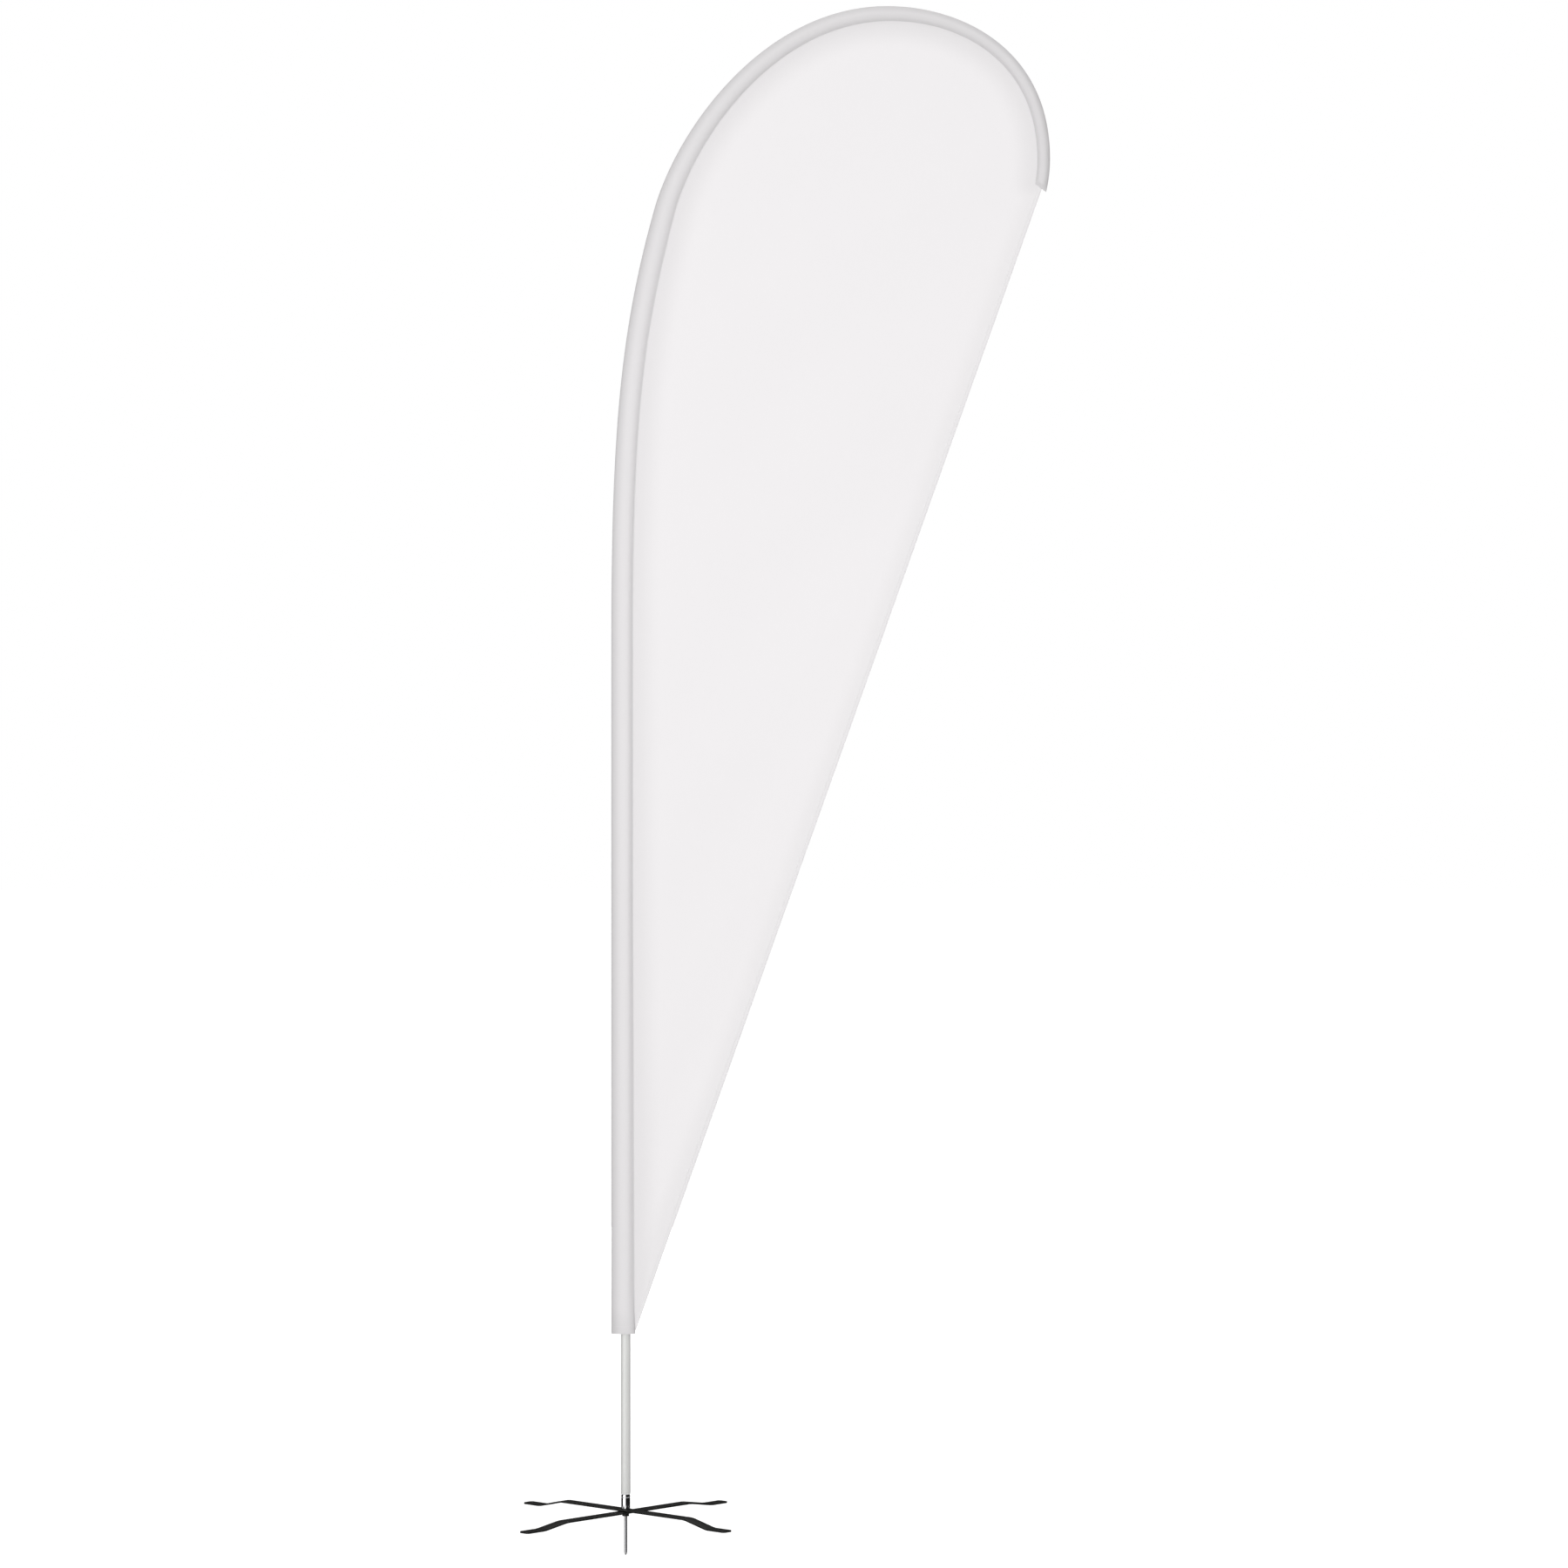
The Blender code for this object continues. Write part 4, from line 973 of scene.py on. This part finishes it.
def hub_nut():
    """The black nut under the bars: a hexagon with turned chamfers, bored for stud and spike."""
    corner = max(NUT_HIGH.x - NUT_LOW.x, NUT_HIGH.y - NUT_LOW.y) / 2.0
    deselect_all()
    bpy.ops.mesh.primitive_cylinder_add(
        vertices=6, radius=corner, depth=NUT_HIGH.z - NUT_LOW.z,
        location=(0.0, 0.0, (NUT_HIGH.z + NUT_LOW.z) / 2.0),
        rotation=(0.0, 0.0, 0.0 if NUT_HIGH.x < NUT_HIGH.y else math.pi / 6.0))
    nut = take(bpy.context.object, "hub_nut_body")
    bpy.ops.object.transform_apply(location=True, rotation=True)
    drill(nut, corner + 0.0002, NUT_LOW.z, NUT_HIGH.z, operation="INTERSECT", chamfer=0.0016)
    drill(nut, SPIKE_HIGH.x + GAP, NUT_LOW.z - 0.01, NUT_HIGH.z + 0.01)
    drill(nut, STUD_HIGH.x + GAP, STUD_LOW.z - GAP, NUT_HIGH.z + 0.01)
    soften(nut, 0.0002, segments=2, angle=25.0)
    return nut


def ground_spike():
    """The bright spike: a plain shank, chamfered at the top and drawn to a point at the bottom."""
    radius, tip, top = SPIKE_HIGH.x, SPIKE_LOW.z, SPIKE_HIGH.z
    profile = [
        (0.0, top), (radius - 0.0004, top), (radius, top - 0.0004), (radius, tip + 0.0100),
        (radius * 0.94, tip + 0.0072), (radius * 0.74, tip + 0.0040), (radius * 0.42, tip + 0.0014),
        (radius * 0.18, tip + 0.0003), (0.0, tip),
    ]
    return turned("spike_shaft", profile, closed=False)


def ring(name, outer, bore, low, high, edge, segments):
    """A turned ring or tube with softened edges."""
    piece = turned(name, [(outer, high), (outer, low), (bore, low), (bore, high)])
    soften(piece, edge, segments=segments)
    return piece


def washer(node, bore):
    low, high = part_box(node)
    return ring(node + "_disc", high.x, bore, low.z, high.z, 0.0002, 2)


def barrel(pole):
    """Barrel and spigot in one turned piece, bored through."""
    shelf = BARREL_HIGH.z - SPIGOT_BORE_DEPTH
    base, shoulder = BARREL_LOW.z, BARREL_LOW.z + pole.barrel_height
    profile = [
        (pole.spigot_radius, BARREL_HIGH.z), (pole.spigot_radius, shoulder),
        (pole.barrel_radius, shoulder), (pole.barrel_radius, base), (BARREL_BORE, base),
        (BARREL_BORE, shelf), (SPIGOT_BORE, shelf), (SPIGOT_BORE, BARREL_HIGH.z),
    ]
    piece = turned("barrel_and_spigot", profile)
    soften(piece, 0.0006, segments=4)
    return piece


def collar(pole):
    """The chrome ring: a dark groove below a bead that flares and rolls in at the top."""
    low, high = COLLAR_LOW.z, COLLAR_HIGH.z
    tall = high - low
    outer, neck, top = COLLAR_HIGH.x, 0.0110, 0.0098
    bore = pole.spigot_radius + GAP
    profile = [
        (top, high), (top + 0.0010, high - 0.10 * tall), (top + 0.0014, high - 0.26 * tall),
        (outer - 0.0003, high - 0.46 * tall), (outer, high - 0.56 * tall),
        (outer, high - 0.66 * tall), (outer - 0.0003, high - 0.72 * tall),
        (neck, high - 0.76 * tall), (neck, low + 0.08 * tall), (neck - 0.0004, low),
        (bore, low), (bore, high),
    ]
    piece = turned("collar_ring", profile)
    soften(piece, 0.00025, segments=3, angle=28.0)
    return piece


def lower_tube(pole):
    bore = pole.tube_radius - pole.tube_wall
    return ring("tube_body", pole.tube_radius, bore, TUBE_LOW.z, TUBE_HIGH.z, 0.0003, 3)


def end_bush(pole):
    """The white plug in the tube's foot, with the lip that shows as a bright ring."""
    outer = BUSH_HIGH.x
    bore = pole.spigot_radius + GAP
    plug = pole.tube_radius - pole.tube_wall - GAP
    lip = TUBE_LOW.z - GAP
    profile = [
        (plug, BUSH_HIGH.z), (plug, lip), (outer, lip), (outer, BUSH_LOW.z),
        (bore, BUSH_LOW.z), (bore, BUSH_HIGH.z),
    ]
    piece = turned("end_bush_ring", profile)
    soften(piece, 0.0005, segments=3)
    return piece


# ---------------------------------------------------------------- operators

class TeardropOperator:
    """What all the operators share."""

    bl_options = {"REGISTER", "UNDO"}


class TEARDROP_OT_stage(TeardropOperator, bpy.types.Operator):
    """Lays the floor, sets the lights and places the camera"""

    bl_idname = "teardrop.stage"
    bl_label = "Stage"

    def execute(self, context):
        stage = context.scene.teardrop_stage
        lay_floor(stage)
        set_lights()
        set_world(stage)
        place_camera(stage)
        return {"FINISHED"}


class TEARDROP_OT_base(TeardropOperator, bpy.types.Operator):
    """Models the two leg bars, the hub nut, the spike and the thrust washer"""

    bl_idname = "teardrop.base"
    bl_label = "Cross base"

    def execute(self, context):
        base = context.scene.teardrop_base
        paint = paint_finish(base.paint_colour)
        bars = (("lower_bar", "lower_leg_bar", "base", LOWER_BAR_TURN),
                ("upper_bar", "upper_leg_bar", "fold_bar", UPPER_BAR_TURN))
        for name, node, body, turn in bars:
            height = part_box(node)[1].z - base.leg_thick
            bar = leg_bar(base, name, height, turn)
            settle(bar, paint, body, "black_powder_coat", node)
        settle(hub_nut(), paint, "base", "black_powder_coat", "hub_nut")
        settle(ground_spike(), steel_finish(), "base", "bright_steel", "ground_spike")
        nylon = plastic_finish("washer_nylon", (0.020, 0.020, 0.020), 0.5)
        bore = STUD_HIGH.x + GAP
        for node in ("thrust_washer", "fold_washer"):
            settle(washer(node, bore), nylon, "base", "nylon", node)
        return {"FINISHED"}


class TEARDROP_OT_spindle(TeardropOperator, bpy.types.Operator):
    """Turns the chrome barrel with its spigot, and the collar"""

    bl_idname = "teardrop.spindle"
    bl_label = "Spindle"

    def execute(self, context):
        pole = context.scene.teardrop_pole
        chrome = chrome_finish()
        settle(barrel(pole), chrome, "spindle", "polished_chrome", "spindle_barrel")
        settle(collar(pole), chrome, "spindle", "polished_chrome", "spindle_collar")
        return {"FINISHED"}


class TEARDROP_OT_pole(TeardropOperator, bpy.types.Operator):
    """Turns the lower tube and the white bush in its foot"""

    bl_idname = "teardrop.pole"
    bl_label = "Lower pole"

    def execute(self, context):
        pole = context.scene.teardrop_pole
        settle(lower_tube(pole), tube_finish(pole.tube_colour), "lower_pole", "satin_aluminium",
               "lower_tube")
        white = plastic_finish("end_bush_plastic", (0.86, 0.87, 0.87), 0.35)
        settle(end_bush(pole), white, "lower_pole", "white_plastic", "pole_end_bush")
        return {"FINISHED"}


class TEARDROP_OT_cloth(TeardropOperator, bpy.types.Operator):
    """Sews the sleeve, the panel, the hem and their stitching"""

    bl_idname = "teardrop.cloth"
    bl_label = "Cloth"

    def execute(self, context):
        cloth = context.scene.teardrop_cloth
        sleeve_knit = knit_finish("sleeve_knit", cloth.sleeve_colour, SLEEVE_SHADE)
        panel_knit = knit_finish("panel_knit", cloth.panel_colour, PANEL_SHADE)
        thread = thread_finish(cloth.thread_colour)
        sleeve = settle(pole_sleeve(cloth), sleeve_knit, "flag", "sleeve_cloth", "pole_sleeve")
        panel = settle(flag_panel(cloth), panel_knit, "flag", "flag_cloth", "flag_panel")
        hem = settle(trailing_hem(cloth), panel_knit, "flag", "flag_cloth")
        pocket = settle(end_pocket(), woven_finish("pocket_webbing", (0.72, 0.72, 0.72), 0.0015),
                        "flag", "webbing", "tip_pocket")
        seam, hem_sewing, foot = [settle(stitches(cloth), thread, "flag", "flag_cloth")
                                  for stitches in (seam_stitches, hem_stitches, foot_stitches)]
        points, *_ = panel_grid(cloth)
        wide = points[..., 0].max() - points[..., 0].min()
        tall = points[..., 2].max() - points[..., 2].min()
        area = panel_area(points)
        return {"FINISHED"}


def panel_area(points):
    """The panel's flat area: the width of each row times the height to the next."""
    widths = points[:, -1, 0] - points[:, 0, 0]
    heights = points[:, 0, 2]
    return float(((widths[1:] + widths[:-1]) / 2.0 * np.diff(heights)).sum())


class TEARDROP_OT_inner(TeardropOperator, bpy.types.Operator):
    """Gives the frame's own inner parts their finishes"""

    bl_idname = "teardrop.inner"
    bl_label = "Inner parts"

    def execute(self, context):
        black = plastic_finish("stop_plastic", (0.03, 0.03, 0.03), 0.5)
        white = plastic_finish("guide_plastic", (0.70, 0.70, 0.68), 0.5)
        satin = tube_finish(context.scene.teardrop_pole.tube_colour)
        steel = steel_finish()
        glass = fibreglass_finish()
        finishes = {
            "pivot_stud": steel, "retaining_washer": steel, "retaining_screw": steel,
            "lower_bush": bronze_finish(), "upper_bush": bronze_finish(),
            "pole_guide_bush": white, "middle_tube": satin, "tip_ferrule": satin,
            "middle_stop_collar": black, "upper_stop_collar": black, "tip_cap": black,
            "upper_rod": glass, "tip_rod": glass,
            "sleeve_grip_band": woven_finish("grip_elastic", (0.76, 0.76, 0.76), 0.0016),
        }
        for node, finish in finishes.items():
            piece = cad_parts[node]
            piece.data.materials.clear()
            piece.data.materials.append(finish)
        return {"FINISHED"}


# ---------------------------------------------------------------- stage

def lay_floor(stage):
    deselect_all()
    level = SPIKE_LOW.z - 0.0005
    bpy.ops.mesh.primitive_plane_add(size=stage.floor_size, location=(0.0, 0.0, level))
    floor = take(bpy.context.object, "studio_floor")
    bpy.ops.object.transform_apply(location=True)
    finish = Finish("studio_floor", roughness=0.9, specular=0.0, glow=0.8)
    speckle = finish.cloud(finish.place(), 3.0)
    finish.set("Base Color", finish.blend(speckle, shade(WHITE[:3], 0.49), shade(WHITE[:3], 0.51)))
    finish.set("Emission Color", WHITE)
    floor.data.materials.append(finish.material)
    floor.visible_glossy = False
    floor.visible_diffuse = False


def area_light(name, place, target, size, power):
    data = bpy.data.lights.new(name, "AREA")
    data.shape = "RECTANGLE"
    data.size, data.size_y = size
    data.energy = power
    light = linked(name, data)
    light.location = place
    light.rotation_euler = (Vector(target) - Vector(place)).to_track_quat("-Z", "Y").to_euler()
    light.visible_glossy = False


def set_lights():
    middle = (0.4, 0.0, 2.0)
    area_light("front_softbox", (-0.5, -9.5, 1.9), middle, (5.0, 5.0), 555.0)
    area_light("back_softbox", (0.5, 9.5, 1.9), middle, (5.0, 5.0), 555.0)
    area_light("top_softbox", (0.0, 0.0, 9.0), (0.0, 0.0, 0.0), (9.0, 9.0), 200.0)


def set_world(stage):
    """Plain white to the eye, even light on the cloth, and softboxes for metal to mirror."""
    world = bpy.data.worlds.new("studio")
    world.use_nodes = True
    bpy.context.scene.world = world
    tree = NodeTree(world.node_tree)
    direction = tree.node("TexCoord", {}, {}, output="Object")
    across, deep, up = tree.parts(direction)
    azimuth = tree.maths("ARCTAN2", across, deep * -1.0)
    softbox = tree.step(azimuth, -1.30, -1.10) * (1.0 - tree.step(azimuth, -0.20, 0.04))
    low_box = softbox * (1.0 - tree.step(up, 0.55, 0.75))
    ceiling = tree.step(up, 0.45, 0.75)
    ground = 1.0 - tree.step(up, -0.27, -0.20)
    studio = low_box * 2.4 + ceiling * 1.1 + ground * 0.35 + 0.012
    path = tree.node("LightPath", {}, {})
    outputs = path.output.node.outputs
    camera_ray = Socket(tree, outputs["Is Camera Ray"])
    glossy_ray = Socket(tree, outputs["Is Glossy Ray"])
    light = studio * glossy_ray + (1.0 - glossy_ray) * EVEN_LIGHT
    seen = camera_ray * stage.white + (1.0 - camera_ray) * light
    background = world.node_tree.nodes["Background"]
    tree.plug(background.inputs["Color"], seen)


def place_camera(stage):
    data = bpy.data.cameras.new("camera")
    data.lens = stage.lens
    data.sensor_width = 36.0
    data.clip_end = 300.0
    camera = linked("camera", data)
    camera.location = stage.camera_place
    camera.rotation_euler = (math.pi / 2.0, 0.0, 0.0)
    bpy.context.scene.camera = camera
    bpy.context.scene.view_settings.view_transform = "Standard"


# ---------------------------------------------------------------- panel and registration

class TEARDROP_PT_sidebar(bpy.types.Panel):
    """The operators, in the order in which they are run"""

    bl_idname = "TEARDROP_PT_sidebar"
    bl_label = "Teardrop flag"
    bl_space_type = "VIEW_3D"
    bl_region_type = "UI"
    bl_category = "Teardrop flag"

    def draw(self, context):
        for operator in OPERATORS:
            self.layout.operator(operator.bl_idname)


OPERATORS = (TEARDROP_OT_stage, TEARDROP_OT_base, TEARDROP_OT_spindle, TEARDROP_OT_pole,
             TEARDROP_OT_cloth, TEARDROP_OT_inner)
GROUPS = {
    "teardrop_cloth": TeardropCloth, "teardrop_pole": TeardropPole,
    "teardrop_base": TeardropBase, "teardrop_stage": TeardropStage,
}


def register():
    for group in GROUPS.values():
        bpy.utils.register_class(group)
    for name, group in GROUPS.items():
        setattr(bpy.types.Scene, name, PointerProperty(type=group))
    for operator in OPERATORS:
        bpy.utils.register_class(operator)
    bpy.utils.register_class(TEARDROP_PT_sidebar)


def unregister():
    bpy.utils.unregister_class(TEARDROP_PT_sidebar)
    for operator in reversed(OPERATORS):
        bpy.utils.unregister_class(operator)
    for name in GROUPS:
        delattr(bpy.types.Scene, name)
    for group in reversed(GROUPS.values()):
        bpy.utils.unregister_class(group)


def main():
    register()
    bpy.ops.teardrop.stage()
    bpy.ops.teardrop.base()
    bpy.ops.teardrop.spindle()
    bpy.ops.teardrop.pole()
    bpy.ops.teardrop.cloth()
    bpy.ops.teardrop.inner()


if __name__ == "__main__":
    main()
